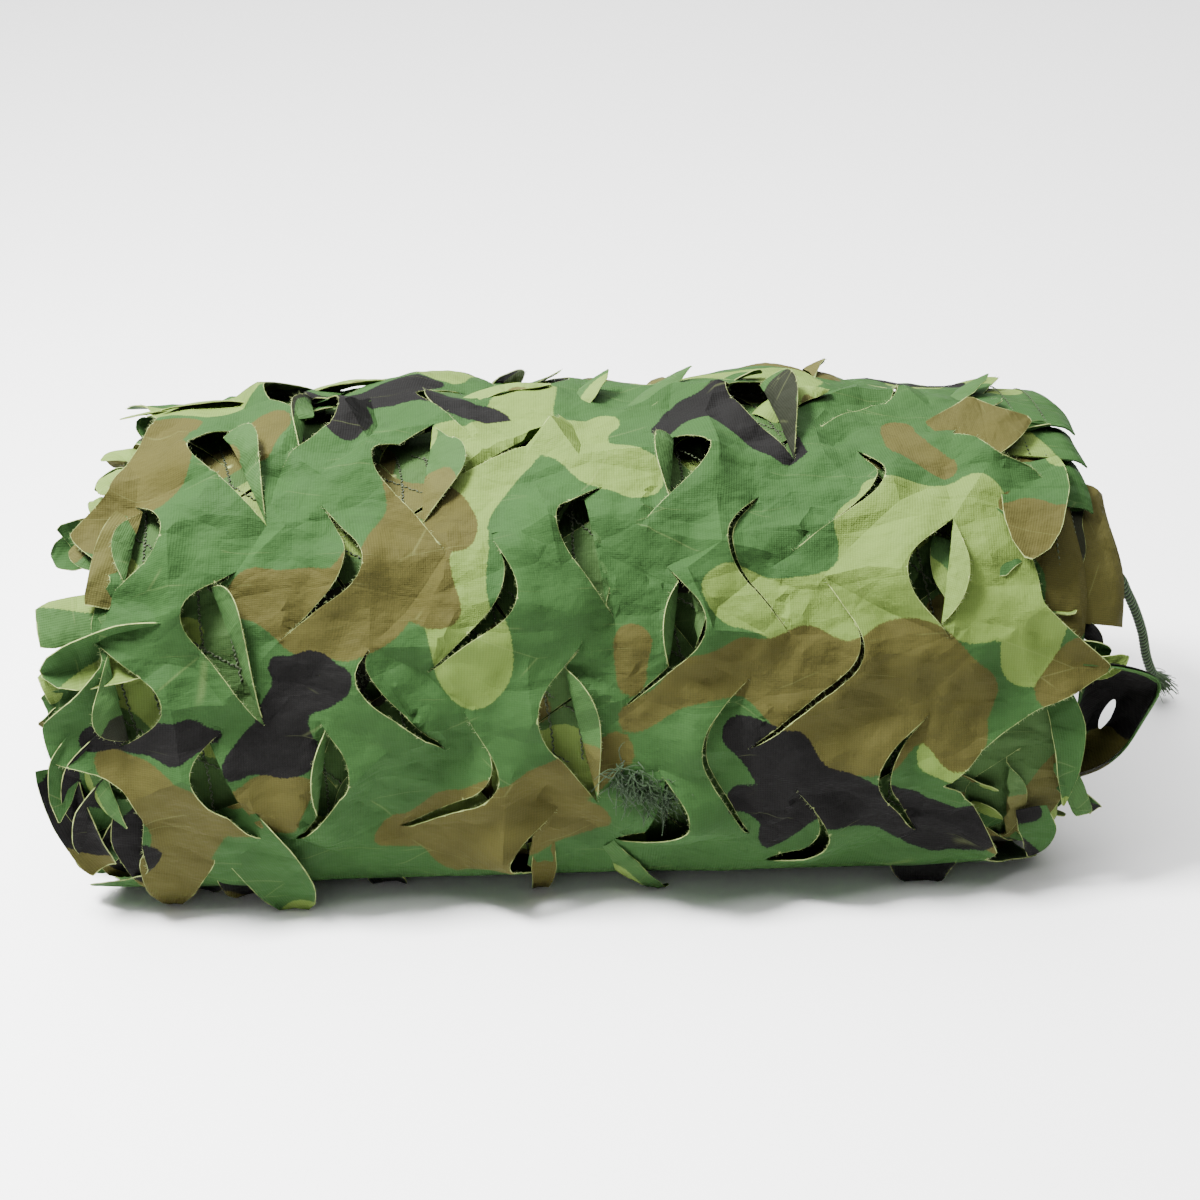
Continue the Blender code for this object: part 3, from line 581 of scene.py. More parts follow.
def all_cuts(step, edges, dealer):
    """The listed cuts, and the lattice's cuts wherever those leave room on the cloth."""
    cuts = [Cut(*(np.array(p) * MM for p in row[:3]), *row[3:], step)
            for row in SHOWN_CUTS.values()]
    taken = np.array([cut.vertex for cut in cuts])
    for (side, column, row), place, arms in lattice(LATTICE, LATTICE, 0.0, STIR, dealer):
        curl = CURLS[(3 * row + 2 * column + (side == ">")) % len(CURLS)]
        share, turn = dealer.uniform(*CURL_SHARES), dealer.uniform(-BEND_TURNS, BEND_TURNS)
        cut = Cut(arms[0], place, arms[1], curl, share, turn, DEALT_PULL, step)
        free = np.hypot(*(taken - place).T).min() > CUT_ROOM
        if free and (side, column, row) not in SHOWN_CUTS and fits(cut.outline(), edges):
            cuts.append(cut)
    return cuts


def fits(outline, edges):
    """True if the cut lies clear of the sheet's ends and of the floor."""
    if outline[:, 1].min() < SEAM_RUN + END_MARGIN:
        return False
    if outline[:, 1].max() > GIRTH - OUTER_END_GAP - END_MARGIN:
        return False
    low = on_roll(outline[:, 0], outline[:, 1], 0.0)[:, 2].min()
    left, right = (np.interp(outline[:, 1], edge[:, 1], edge[:, 0]) for edge in edges)
    clear = np.all(outline[:, 0] > left + TIP_ROOM) and np.all(outline[:, 0] < right - TIP_ROOM)
    return low > FLOOR_MARGIN and clear


# ---- where the leaf cloth ends
# Down each end of the roll: x and s in millimetres of the leaf tips and the notches between.
LEFT_TIPS = (
    (-222, -6), (-222, 30), (-232, 52), (-219, 66), (-236, 92), (-224, 108), (-240, 130),
    (-226, 150), (-238, 170), (-216, 184), (-206, 196), (-207, 210), (-205, 224), (-212, 240),
    (-229, 249), (-245, 254), (-248, 274), (-230, 288), (-219, 300), (-224, 318), (-221, 330),
    (-215, 338), (-223, 349), (-236, 366), (-219, 387), (-214, 408), (-208, 434), (-206, 458),
    (-214, 482), (-228, 498), (-212, 514), (-226, 540), (-214, 556), (-230, 584), (-216, 600),
    (-229, 626), (-217, 646), (-232, 672), (-221, 694), (-228, 716), (-222, 742),
)
RIGHT_TIPS = (
    (222, -6), (222, 30), (212, 50), (226, 74), (210, 92), (222, 118), (206, 136), (214, 158),
    (196, 172), (182, 184), (186, 196), (175, 214), (166, 226), (158, 229), (178, 246),
    (202, 264), (226, 278), (236, 286), (218, 300), (203, 313), (201, 326), (198, 338),
    (206, 346), (211, 358), (214, 373), (206, 383), (187, 388), (172, 409), (188, 430),
    (204, 446), (198, 470), (212, 492), (199, 512), (218, 540), (206, 560), (224, 590),
    (208, 610), (226, 636), (212, 660), (228, 690), (216, 716), (222, 742),
)


def jagged(tips, step):
    """The leaf edge: half way from straight runs between the tips to a smooth curve."""
    corners = np.array(tips, float) * MM
    smooth = catmull(corners, 12)
    share = np.linspace(0.0, len(corners) - 1.0, len(smooth))
    straight = np.stack([np.interp(share, np.arange(len(corners)), corners[:, i])
                         for i in (0, 1)], axis=1)
    return resampled(0.5 * straight + 0.5 * smooth, step)


def inset_line(line, sign):
    """The line again, an edge band's width to its +x side, or to its -x side where sign is -1."""
    ahead = np.gradient(line, axis=0)
    ahead /= np.linalg.norm(ahead, axis=1)[:, None]
    across = np.stack([ahead[:, 1], -ahead[:, 0]], axis=1)
    return (line + sign * EDGE_BAND * across)[1:-1]


# ---- the cloth between the cuts
FOLDS = (
    # from x and s to x and s, width and height in millimetres: ridges, or troughs below 0
    (-80, 286, -40, 262, 2.2, -1.6), (-78, 280, -50, 252, 2.5, 1.4), (-4, 300, 12, 286, 1.8, -1.6),
    (-16, 290, 14, 272, 2.0, -1.8), (-12, 282, 16, 266, 2.2, 1.5), (-44, 352, -20, 330, 3.0, 1.2),
    (-200, 350, -150, 330, 3.5, 1.6), (-196, 372, -150, 345, 3.0, -1.5),
    (-226, 318, -196, 300, 3.0, 2.0), (-205, 338, -185, 300, 4.0, -1.4),
    (20, 340, 40, 372, 3.0, 1.4), (30, 312, 14, 352, 3.0, -1.6),
    (62, 330, 96, 338, 2.8, -2.0), (60, 345, 100, 352, 3.0, 1.2), (88, 300, 104, 330, 2.4, 1.4),
    (104, 330, 122, 300, 2.0, -1.2), (96, 300, 84, 262, 2.6, 1.4), (110, 262, 100, 296, 2.2, 1.2),
    (150, 300, 140, 262, 2.6, 1.3), (160, 290, 150, 262, 2.2, -1.2), (176, 350, 182, 310, 2.6, 1.4),
    (192, 316, 196, 282, 2.2, 1.4), (204, 320, 200, 290, 2.0, -1.2), (108, 404, 124, 416, 3.0, -2.2),
    (-60, 344, -82, 300, 3.0, 1.6), (-70, 330, -44, 322, 2.0, 1.2), (-68, 318, -52, 300, 1.8, -1.2),
    (-130, 320, -110, 300, 3.0, 1.2), (-60, 220, -40, 202, 3.0, 1.6), (-20, 236, -34, 214, 3.0, -1.5),
    (20, 250, 30, 226, 3.0, 1.4), (-188, 240, -176, 216, 3.0, 1.5), (-214, 244, -196, 222, 3.0, -1.4),
    (84, 260, 100, 236, 3.0, 1.2), (70, 300, 40, 284, 2.4, 1.2), (-90, 398, -60, 404, 3.0, 1.2),
    (-140, 420, -150, 396, 3.5, 1.4), (-96, 250, -60, 262, 2.5, 1.3), (-120, 232, -96, 214, 3.0, -1.4),
)
FACET_RUNS = (
    # direction in degrees, spacing in millimetres, phase, height in millimetres
    (38, 47, 0.10, 1.6), (-52, 39, 0.62, 1.4), (8, 61, 0.35, 1.0), (74, 53, 0.81, 1.0),
    (61, 22, 0.20, 1.0), (-24, 19, 0.47, 1.0), (-78, 27, 0.93, 0.9),
)


FACET_DRAWN = 2.3  # a crease changes over this many spacings along itself
FACET_WANDER = 0.16  # and strays by this share of a spacing


def facets(x, s):
    """Straight creases: in each direction a saw of even flanks, its height fading in and out."""
    total = np.zeros_like(x)
    for number, (turn, spacing, phase, height) in enumerate(FACET_RUNS):
        angle = math.radians(turn)
        along = (x * math.cos(angle) + s * math.sin(angle)) / (spacing * MM) + phase
        across = (s * math.cos(angle) - x * math.sin(angle)) / (FACET_DRAWN * spacing * MM)
        wander = FACET_WANDER * np.sin(math.tau * across + 2.0 * number)
        saw = 2.0 * np.abs(np.mod(along + wander, 1.0) - 0.5)
        fade = 0.5 + 0.5 * np.sin(3.1 * across + 1.7 * number + 4.0 * phase)
        total += height * MM * (saw - 0.5) * fade
    return total


def folds(x, s):
    """The listed creases: a bell across each line, times a bell that ends it softly.

    They are exp(-|across / width|^1.5) and exp(-(2.2 (along - 1/2))^4), with along 0 to 1.
    """
    total = np.zeros_like(x)
    for x0, s0, x1, s1, width, height in FOLDS:
        start, end = np.array((x0, s0)) * MM, np.array((x1, s1)) * MM
        run = end - start
        length = np.linalg.norm(run)
        along = ((x - start[0]) * run[0] + (s - start[1]) * run[1]) / length ** 2
        across = ((x - start[0]) * run[1] - (s - start[1]) * run[0]) / length
        bell = np.exp(-np.abs(across / (width * MM)) ** 1.5)
        total += height * MM * bell * np.exp(-(2.2 * (along - 0.5)) ** 4)
    return total


PANE_LIP = (4.0, 8.0)  # rise at a cut's vertex in millimetres: nearly shut cuts, gaping cuts
PANE_LIP_SHARES = (0.6, 1.1)  # of that rise, dealt
PANE_LOW = (-4.0, 2.5)  # and at the cuts' ends
PANE_LOOSE = (-4.0, 4.5)  # and at the places between
PANE_ENDS = (-1.0, 3.0)  # and down the cloth's two ends
PANE_END_PLACES = (8, 14)  # along x and s, on the rectangle round the cloth
PANE_GAP = 27 * MM
PANE_STIR = 0.25  # of the gap, by which the places between are moved at most
PANE_STRETCH = (0.75, 1.7)  # across their lean and along it
PANE_LEAN = -0.60  # in radians
PANE_CLEAR = 9 * MM  # from the cuts' own places
PANE_MARGIN = 20 * MM  # between the cloth and the rectangle
PANE_INSET = 15 * MM  # between the rectangle and the places in it
PANE_TOUCH = 1e-4  # shares of a pane that still count as in it


class Panes:
    """Flat panes between the cuts' ends and vertices, so that the cloth creases where they meet.

    Those places, and long triangles' corners strewn between them, each get a height. Over the
    triangles between the places the height changes linearly.
    """

    def __init__(self, cuts, low, high, dealer):
        places, heights = [], []
        for cut in cuts:
            lip = PANE_LIP[1] if abs(cut.curl) > GAPES_FROM else PANE_LIP[0]
            places += [cut.vertex, cut.upper, cut.lower]
            heights += [lip * dealer.uniform(*PANE_LIP_SHARES), dealer.uniform(*PANE_LOW),
                        dealer.uniform(*PANE_LOW)]
        low, high = low - PANE_MARGIN, high + PANE_MARGIN
        cos, sin = math.cos(PANE_LEAN), math.sin(PANE_LEAN)
        turned = scattered((-0.5, -0.5), (0.5, 0.5), PANE_GAP, dealer)
        turned = turned + dealer.uniform(-PANE_STIR, PANE_STIR, turned.shape) * PANE_GAP
        turned = turned * PANE_STRETCH
        extra = turned @ np.array([[cos, sin], [-sin, cos]]) + 0.5 * (low + high)
        within = (extra > low + PANE_INSET) & (extra < high - PANE_INSET)
        extra = extra[np.all(within, axis=1)]
        own = np.array(places)
        clear = [np.hypot(*(own - place).T).min() > PANE_CLEAR for place in extra]
        extra = extra[np.array(clear)]
        places += list(extra)
        heights += list(dealer.uniform(*PANE_LOOSE, len(extra)))
        for x in np.linspace(low[0], high[0], PANE_END_PLACES[0]):
            for s in (low[1], high[1]):
                places.append(np.array((x, s)))
                heights.append(0.0)
        for s in np.linspace(low[1], high[1], PANE_END_PLACES[1])[1:-1]:
            for x in (low[0], high[0]):
                places.append(np.array((x, s)))
                heights.append(dealer.uniform(*PANE_ENDS))
        flat = [Vector(place) for place in places]
        found, _, triangles, _, _, _ = delaunay_2d_cdt(flat, [], [], 0, SAME_PLACE)
        self.places = np.array([tuple(p) for p in found])
        self.heights = np.array(heights) * MM
        self.triangles = np.array(triangles)

    def lines(self, step):
        """The borders between panes, as rows of corners a step apart."""
        edges = np.vstack([self.triangles[:, [0, 1]], self.triangles[:, [1, 2]],
                           self.triangles[:, [2, 0]]])
        edges = np.unique(np.sort(edges, axis=1), axis=0)
        return [resampled(self.places[edge], step) for edge in edges]

    def rise(self, plane):
        """The height at each place: linear over the pane that holds it."""
        total = np.zeros(len(plane))
        for triangle in self.triangles:
            a, b, c = self.places[triangle]
            low = np.minimum(np.minimum(a, b), c) - 1e-6
            high = np.maximum(np.maximum(a, b), c) + 1e-6
            near = np.flatnonzero(np.all((plane >= low) & (plane <= high), axis=1))
            axes = np.column_stack([b - a, c - a])
            if abs(np.linalg.det(axes)) < 1e-9:
                continue
            share = (plane[near] - a) @ np.linalg.inv(axes).T
            inside = np.all(share >= -PANE_TOUCH, axis=1) & (share.sum(axis=1) <= 1.0 + PANE_TOUCH)
            h = self.heights[triangle]
            total[near[inside]] = (h[0] + share @ (h[1:] - h[0]))[inside]
        return total


UNEVEN = 0.25 * MM  # height of the cloth's fine unevenness


def crumple(x, s):
    """Everything small that lifts the cloth: creases, facets and a fine unevenness.

    The last is two sines, one in x and one in s, each bent to and fro by a sine in the other.
    """
    fine = UNEVEN * np.sin(x / (5.3 * MM) + 1.7 * np.sin(s / (9 * MM)))
    fine = fine + UNEVEN * np.sin(s / (4.7 * MM) + 1.9 * np.sin(x / (7 * MM)))
    return folds(x, s) + facets(x, s) + fine


CELL_ROW = 100000  # more cells than lie side by side in any row
HEX_ROW = 0.866  # the rows of a hexagonal grid are this share of its gap apart
GRID_STIR = 0.14  # of the gap, by which its places are moved at most


def sparse(points, taken, gap):
    """The points whose own cell and the cells round it, gap wide, hold none of the taken ones."""
    cells = np.floor(taken / gap).astype(np.int64)
    used = np.unique(np.concatenate([(cells[:, 0] + i) * CELL_ROW + cells[:, 1] + j
                                     for i in (-1, 0, 1) for j in (-1, 0, 1)]))
    own = np.floor(points / gap).astype(np.int64)
    return points[~np.isin(own[:, 0] * CELL_ROW + own[:, 1], used)]


def scattered(low, high, gap, dealer):
    """A hexagonal grid of places over a rectangle, each moved a little at random."""
    s = np.arange(low[1], high[1], gap * HEX_ROW)
    x = np.arange(low[0], high[0], gap)
    grid_x, grid_s = np.meshgrid(x, s)
    grid_x = grid_x + 0.5 * gap * (np.arange(len(s)) % 2)[:, None]
    grid = np.stack([grid_x.ravel(), grid_s.ravel()], axis=1)
    return grid + dealer.uniform(-GRID_STIR, GRID_STIR, grid.shape) * gap


def outside_holes(points, holes):
    """The points that lie in none of the holes."""
    for hole in holes:
        points = points[~inside_loop(points, hole)]
    return points


def triangulate(border, holes, free, lines=()):
    """Corners and triangles of a flat sheet with holes, from its edges, its creases' lines and
    its free corners."""
    points = [border]
    edges = [np.stack([np.arange(len(border)), np.roll(np.arange(len(border)), -1)], axis=1)]
    first = len(border)
    for hole in holes:
        points.append(hole)
        ring = first + np.arange(len(hole))
        edges.append(np.stack([ring, np.roll(ring, -1)], axis=1))
        first += len(hole)
    for line in lines:
        points.append(line)
        row = first + np.arange(len(line))
        edges.append(np.stack([row[:-1], row[1:]], axis=1))
        first += len(line)
    points.append(free)
    flat = [Vector(point) for point in np.vstack(points).tolist()]
    found, _, triangles, _, _, _ = delaunay_2d_cdt(
        flat, np.vstack(edges).tolist(), [], 0, SAME_PLACE)
    plane = np.array([tuple(point) for point in found])
    triangles = np.array(triangles)
    centres = plane[triangles].mean(axis=1)
    cloth = inside_loop(centres, border)
    for hole in holes:
        cloth &= ~inside_loop(centres, hole)
    triangles = triangles[cloth]
    a, b, c = (plane[triangles[:, i]] for i in range(3))
    turned = (b - a)[:, 0] * (c - a)[:, 1] - (b - a)[:, 1] * (c - a)[:, 0] < 0
    triangles[turned] = triangles[turned][:, ::-1]
    used, triangles = np.unique(triangles, return_inverse=True)
    return plane[used], triangles.reshape(-1, 3)


# ---- the cloths
CLOTH_THICK = 0.45 * MM
EDGE_STEP = 3.0 * MM
EDGE_BAND = 0.55 * MM
FINE_GAP = 3.05 * MM  # between free corners where the cloth faces up or forward
COARSE_GAP = 5.2 * MM  # and round the back and under
FINE_FROM, FINE_TO = 165 * MM, 515 * MM
PANE_STEP = 3.6 * MM
FREE_CLEAR = 1.5 * MM  # between free corners and the edges and creases
BORDER_PLACES = 60  # across each end of the last turn
FLARE = 8 * MM  # the leaf tips at the ends stand off this much, at most
FLARE_REACH = 26 * MM
FLARE_FADE_Z = (8 * MM, 40 * MM)  # it fades towards the floor
STAND_OFF = 0.2 * MM
SEAM_DIP = 3.2 * MM
PRESS_FADE_Z = (4 * MM, 30 * MM)  # creases and lips flatten out towards the floor
LAID_CURLS = (60, 120)  # degrees: from the first to the second a tongue takes up the
TUCK_TAKES = 2 * MM  # creases of where it lies, and so does one tucked under this much
TONGUE_SINK = 0.3  # a tongue sinks by this share of its cut's lips
FLOOR_CLEAR = 0.3 * MM
LEAF_CLOTH_X = 250 * MM  # half the length of the rectangle that holds its panes
EDGE_FADE = (0.5 * MM, 5 * MM)  # the pale rim starts this far from a cut's ends
LEAF_CLOTH_SHARP = 22.0  # degrees: creases sharper than this show as an edge


def cloth_border(left, right, near_x, far_x):
    """The loop round a cloth: across its start, up the right, back across its end, down the left."""
    near = np.stack([near_x, np.full(len(near_x), right[0, 1])], axis=1)
    far = np.stack([far_x, np.full(len(far_x), right[-1, 1])], axis=1)
    return np.vstack([near, right, far, left[::-1]])


def cloth_corners(left, right, holes, insets, lines, dealer):
    """Border and free corners of a cloth between its two jagged ends."""
    border = cloth_border(left, right,
                          np.linspace(left[0, 0], right[0, 0], BORDER_PLACES)[1:-1],
                          np.linspace(right[-1, 0], left[-1, 0], BORDER_PLACES)[1:-1])
    low, high = border.min(axis=0), border.max(axis=0)
    fine = scattered((low[0], FINE_FROM), (high[0], FINE_TO), FINE_GAP, dealer)
    free = np.vstack([scattered(low, (high[0], FINE_FROM), COARSE_GAP, dealer), fine,
                      scattered((low[0], FINE_TO), high, COARSE_GAP, dealer)])
    free = sparse(free[inside_loop(free, border)], np.vstack([border] + holes + insets + lines),
                  FREE_CLEAR)
    inset = np.vstack(insets)
    inset = inset[inside_loop(inset, border)]
    return border, np.vstack([outside_holes(free, holes), outside_holes(inset, holes)])


def flare(x, s, left, right):
    """How far the ends stand off: 1 at the very tip, falling as a square, in slow waves of s."""
    gap = np.minimum(x - np.interp(s, left[:, 1], left[:, 0]),
                     np.interp(s, right[:, 1], right[:, 0]) - x)
    wave = 0.5 + 0.5 * np.sin(s / (11 * MM) + 3.0 * np.sign(x)) * np.sin(s / (29 * MM) + 1.0)
    close = np.clip(1.0 - gap / FLARE_REACH, 0.0, 1.2) ** 2
    return FLARE * wave * close * ease_between(height_at(s), FLARE_FADE_Z)


def seam_drop(s):
    """The last turn dips under the seam at its start, where it goes on into the folded strip."""
    return SEAM_DIP * (1.0 - ease_between(s, (0.0, SEAM_RUN)))


def leaf_shape(plane, cuts, left, right, panes):
    """The cloth on the roll: swells, panes, creases, gaping lips and the tongues bent up.

    All of these add up to its rise. A tongue that is laid back or tucked under changes the
    panes and creases of its own place for those of the place where it lies.
    """
    x, s = plane.T
    rise = STAND_OFF + puff(x, s) + flare(x, s, left, right) - seam_drop(s)
    pressed = ease_between(height_at(s), PRESS_FADE_Z)
    flatter = 1.0 - CREST_FLATTER * ease_between(s, CREST)
    rise = rise + pressed * (panes.rise(plane) + flatter * crumple(x, s))
    at = plane.copy()
    for cut in cuts:
        mine = cut.holds(plane)
        moved, lift = cut.bent(plane[mine])
        at[mine] = moved
        under = panes.rise(moved) + crumple(*moved.T)
        under -= panes.rise(plane[mine]) + crumple(*plane[mine].T)
        laid = float(ease_between(abs(cut.curl), LAID_CURLS))
        tucked = ease_between(-lift, (0.0, TUCK_TAKES))
        rise[mine] += lift + np.where(lift > 0, laid, tucked) * under
        at[~mine] += cut.pulled(plane[~mine])
        lip = cut.lip(plane) * pressed * (1.0 - CREST_SHARE * ease_between(s, CREST))
        rise = rise + np.where(mine, -TONGUE_SINK * lip, lip)
    out = on_roll(at[:, 0], at[:, 1], -rise)
    out[:, 2] = np.maximum(out[:, 2], FLOOR_CLEAR)
    return out


def edge_values(plane, faces, shown):
    """1 on the rim's corners where it is shown, 0 elsewhere: there the cloth is frayed and pale."""
    edge = np.zeros(len(plane))
    edge[open_edges(faces, len(plane)).ravel()] = 1.0
    return edge * shown


def build_leaf_cloth(finish):
    """The last turn of the net: printed cloth, cut all over, with its tongues curled up."""
    dealer = np.random.default_rng(7)
    left, right = jagged(LEFT_TIPS, EDGE_STEP), jagged(RIGHT_TIPS, EDGE_STEP)
    far = GIRTH - OUTER_END_GAP
    left, right = (line[line[:, 1] < far] for line in (left, right))
    cuts = all_cuts(EDGE_STEP, (left, right), dealer)
    holes = [cut.outline() for cut in cuts]
    insets = [cut.insets(EDGE_BAND) for cut in cuts]
    insets += [inset_line(left, 1.0), inset_line(right, -1.0)]
    panes = Panes(cuts, np.array((-LEAF_CLOTH_X, 0.0)), np.array((LEAF_CLOTH_X, GIRTH)), dealer)
    lines = panes.lines(PANE_STEP) + [cut.fold_line(PANE_STEP) for cut in cuts]
    border, free = cloth_corners(left, right, holes, insets, lines, dealer)
    plane, faces = triangulate(border, holes, free, lines)
    corners = leaf_shape(plane, cuts, left, right, panes)
    edge = edge_values(plane, faces, plane[:, 1] > left[0, 1] + MM)
    rim = open_edges(faces, len(plane))
    rim = rim[edge[rim].min(axis=1) > 0.5]
    for cut in cuts:
        for end in (cut.upper, cut.lower):
            edge *= ease_between(np.hypot(*(plane - end).T), EDGE_FADE)
    lips = corners[rim], normals_of(corners, faces)[rim[:, 0]]
    piece = cloth_piece("leaf_cloth", corners, faces, plane, edge, CLOTH_THICK, finish,
                        LEAF_CLOTH_SHARP)
    return piece, cuts, lips


UNDER_DEPTH = 7.4 * MM
UNDER_CURLS = (150, 24, -120, 140, 30)  # degrees, dealt in turn to its cuts
UNDER_LIFT = 3.0 * MM  # room for its tongues under the last turn
UNDER_SHIFT = np.array((43, -31)) * MM  # of the next layer's cuts, against the last turn's
UNDER_PRINT = np.array((190, 120)) * MM  # and of its print
UNDER_FROM = 60 * MM  # it starts and stops this far from the seam
UNDER_INSET = 3 * MM  # its ends lie this far inside the strip's, in waves
UNDER_WAVE = 4 * MM
UNDER_ROWS, UNDER_COLUMNS = range(-5, 5), range(-4, 4)
UNDER_STIR = 6  # millimetres that its cuts are out of the pattern, at most
UNDER_CUT = (0.8, 0, 3)  # its tongues' share that curls, turn and pull
UNDER_CUT_S = 20 * MM  # its cuts lie this far from its start and stop
UNDER_CUT_X = 200 * MM  # and no further than this from the middle
UNDER_PLACES = 40  # across each of its ends
UNDER_GAP = 6.0 * MM  # between its free corners
UNDER_CLEAR = 2.4 * MM


def under_rise(x, s):
    """Its depth, with half the last turn's swells and, moved along, half its creases."""
    return -UNDER_DEPTH + 0.5 * puff(x, s) + 0.5 * facets(x + UNDER_SHIFT[0], s)


def build_under_cloth(finish):
    """The layer under the last turn, which shows through the cuts: its tongues stay low."""
    dealer = np.random.default_rng(11)
    s_from, s_to = UNDER_FROM, GIRTH - UNDER_FROM
    table = np.array(STRIP_ENDS) * (GIRTH, MM, MM)
    s = np.arange(s_from, s_to, EDGE_STEP)
    wave = UNDER_WAVE * np.sin(s / (9 * MM)) * np.sin(s / (31 * MM) + 1.0)
    left = np.stack([np.interp(s, table[:, 0], table[:, 1]) + wave + UNDER_INSET, s], axis=1)
    right = np.stack([np.interp(s, table[:, 0], table[:, 2]) - wave - UNDER_INSET, s], axis=1)
    cuts = []
    pattern = lattice(UNDER_ROWS, UNDER_COLUMNS, UNDER_SHIFT, UNDER_STIR, dealer)
    for (side, column, row), place, arms in pattern:
        curl = UNDER_CURLS[(row + 2 * column + (side == ">")) % len(UNDER_CURLS)]
        cut = Cut(arms[0], place, arms[1], curl, *UNDER_CUT, EDGE_STEP)
        outline = cut.outline()
        inside = outline[:, 1].min() > s_from + UNDER_CUT_S
        inside &= outline[:, 1].max() < s_to - UNDER_CUT_S
        if inside and np.abs(outline[:, 0]).max() < UNDER_CUT_X:
            cuts.append(cut)
    holes = [cut.outline() for cut in cuts]
    across = np.linspace(left[0, 0], right[0, 0], UNDER_PLACES)[1:-1]
    border = cloth_border(left, right, across, across[::-1])
    low, high = border.min(axis=0), border.max(axis=0)
    free = scattered(low, high, UNDER_GAP, dealer)
    free = sparse(free[inside_loop(free, border)], np.vstack([border] + holes), UNDER_CLEAR)
    insets = [inset_line(left, 1.0), inset_line(right, -1.0)]
    insets += [cut.insets(EDGE_BAND) for cut in cuts]
    free = outside_holes(np.vstack([free] + insets), holes)
    plane, faces = triangulate(border, holes, free)
    rise = under_rise(plane[:, 0], plane[:, 1])
    at = plane.copy()
    for cut in cuts:
        mine = cut.holds(plane)
        moved, lift = cut.bent(plane[mine])
        at[mine] = moved
        rise[mine] += UNDER_LIFT * np.tanh(lift / UNDER_LIFT)
        at[~mine] += cut.pulled(plane[~mine])
    corners = on_roll(at[:, 0], at[:, 1], -rise)
    edge = edge_values(plane, faces, plane[:, 1] > s_from + MM)
    return cloth_piece("under_cloth", corners, faces, plane, edge, CLOTH_THICK, finish,
                       shift=UNDER_PRINT)


# ---- the folded strip
LAYERS = 8
FIRST_DROP = 6.4 * MM  # the outer folded layers lie this much deeper, under the under cloth
ROW_STEP = 9 * MM
BIGHT_REACH = 3.4 * MM  # how far a fold stands out past its two layers
LAYER_WAVE = 4.5 * MM  # unevenness of the folds' ends
STATIONS = (-1.0, -0.95, -0.86, -0.6, 0.0, 0.6, 0.86, 0.95, 1.0)  # shares of half the width
BIGHT_ANGLES = (-55, 0, 55)  # degrees round a fold, where it has corners
FOLD_INSET = 4 * MM  # the folds lie this far inside the strip's ends, in waves
FOLD_CLEAR = 0.6 * MM  # off the floor
LAYER_THICK = 0.35 * MM
LAYER_PRINT = 0.8  # of the way round that the print moves on


def outer_depth(turn):
    """How deep a turn's outer face lies: 0 for the last turn, then one turn and gap after another."""
    if turn == 0:
        return 0.0
    return LEAF_THICK + SKIN_GAP + (turn - 1) * (STRIP_THICK + TURN_GAP)


def build_folded_layers(finish):
    """The strip under the last turn: one cloth folded to and fro along x and wound up.

    Across the strip the cloth runs through eight layers. Between two of them it turns in a
    half circle, squashed along x. Round the roll each turn steps over the last at the seam.
    """
    rows = []
    for turn in range(STRIP_TURNS, 0, -1):
        steps = int(GIRTH * (1.0 - outer_depth(turn) / HALF_DEPTH) / ROW_STEP)
        rows += [(turn, s) for s in np.linspace(0.0, GIRTH, steps, endpoint=False)]
    turn, s = np.array(rows).T
    climb = ease(s / SEAM_RUN)
    depths = np.array([outer_depth(t) for t in range(STRIP_TURNS + 2)])
    outer = (1 - climb) * depths[(turn + 1).astype(int)] + climb * depths[turn.astype(int)]
    outer = outer + np.where(turn == 1, FIRST_DROP, 0.0)
    thick = np.where(turn == 1, STRIP_THICK - FIRST_DROP, STRIP_THICK)
    table = np.array(STRIP_ENDS) * (GIRTH, MM, MM)
    shifts = np.array(TELESCOPE) * (1.0, MM, MM)
    turns_in = turn + 1.0 - s / GIRTH
    ends = [np.interp(s, table[:, 0], table[:, i]) + np.interp(turns_in, shifts[:, 0], shifts[:, i])
            for i in (1, 2)]
    pitch = thick / LAYERS
    columns = []
    for layer in range(LAYERS):
        wave = [LAYER_WAVE * np.sin(s / ((17 + 3 * layer) * MM) + 2.1 * layer + 1.3 * turn + side)
                * np.sin(s / (41 * MM) + layer) for side in (0, 2)]
        left, right = ends[0] + FOLD_INSET + wave[0], ends[1] - FOLD_INSET - wave[1]
        middle, half = 0.5 * (left + right), 0.5 * (right - left)
        depth = outer + (layer + 0.5) * pitch
        runs = STATIONS if layer % 2 == 0 else STATIONS[::-1]
        columns += [(middle + share * half, depth) for share in runs]
        if layer < LAYERS - 1:
            end, sign = (right, 1.0) if layer % 2 == 0 else (left, -1.0)
            for angle in BIGHT_ANGLES:
                cos, sin = math.cos(math.radians(angle)), math.sin(math.radians(angle))
                columns.append((end + sign * BIGHT_REACH * cos,
                                depth + 0.5 * pitch * (1.0 + sin)))
    x = np.stack([column[0] for column in columns], axis=1)
    depth = np.stack([column[1] for column in columns], axis=1)
    around = np.repeat(s[:, None], x.shape[1], axis=1)
    corners = on_roll(x.ravel(), around.ravel(), depth.ravel())
    corners[:, 2] = np.maximum(corners[:, 2], FOLD_CLEAR)
    faces = grid_faces(len(rows), x.shape[1])[:, ::-1]
    steps = np.linalg.norm(np.diff(corners.reshape(*x.shape, 3), axis=1), axis=2)
    reach = np.hstack([np.zeros((len(rows), 1)), np.cumsum(steps, axis=1)])
    wound = LAYER_PRINT * (GIRTH * (STRIP_TURNS - turn) + s)
    flat = np.stack([reach, np.repeat(wound[:, None], x.shape[1], 1)], axis=2).reshape(-1, 2)
    return cloth_piece("folded_layers", corners, faces, flat, np.zeros(len(flat)), LAYER_THICK,
                       finish, sharp=0)


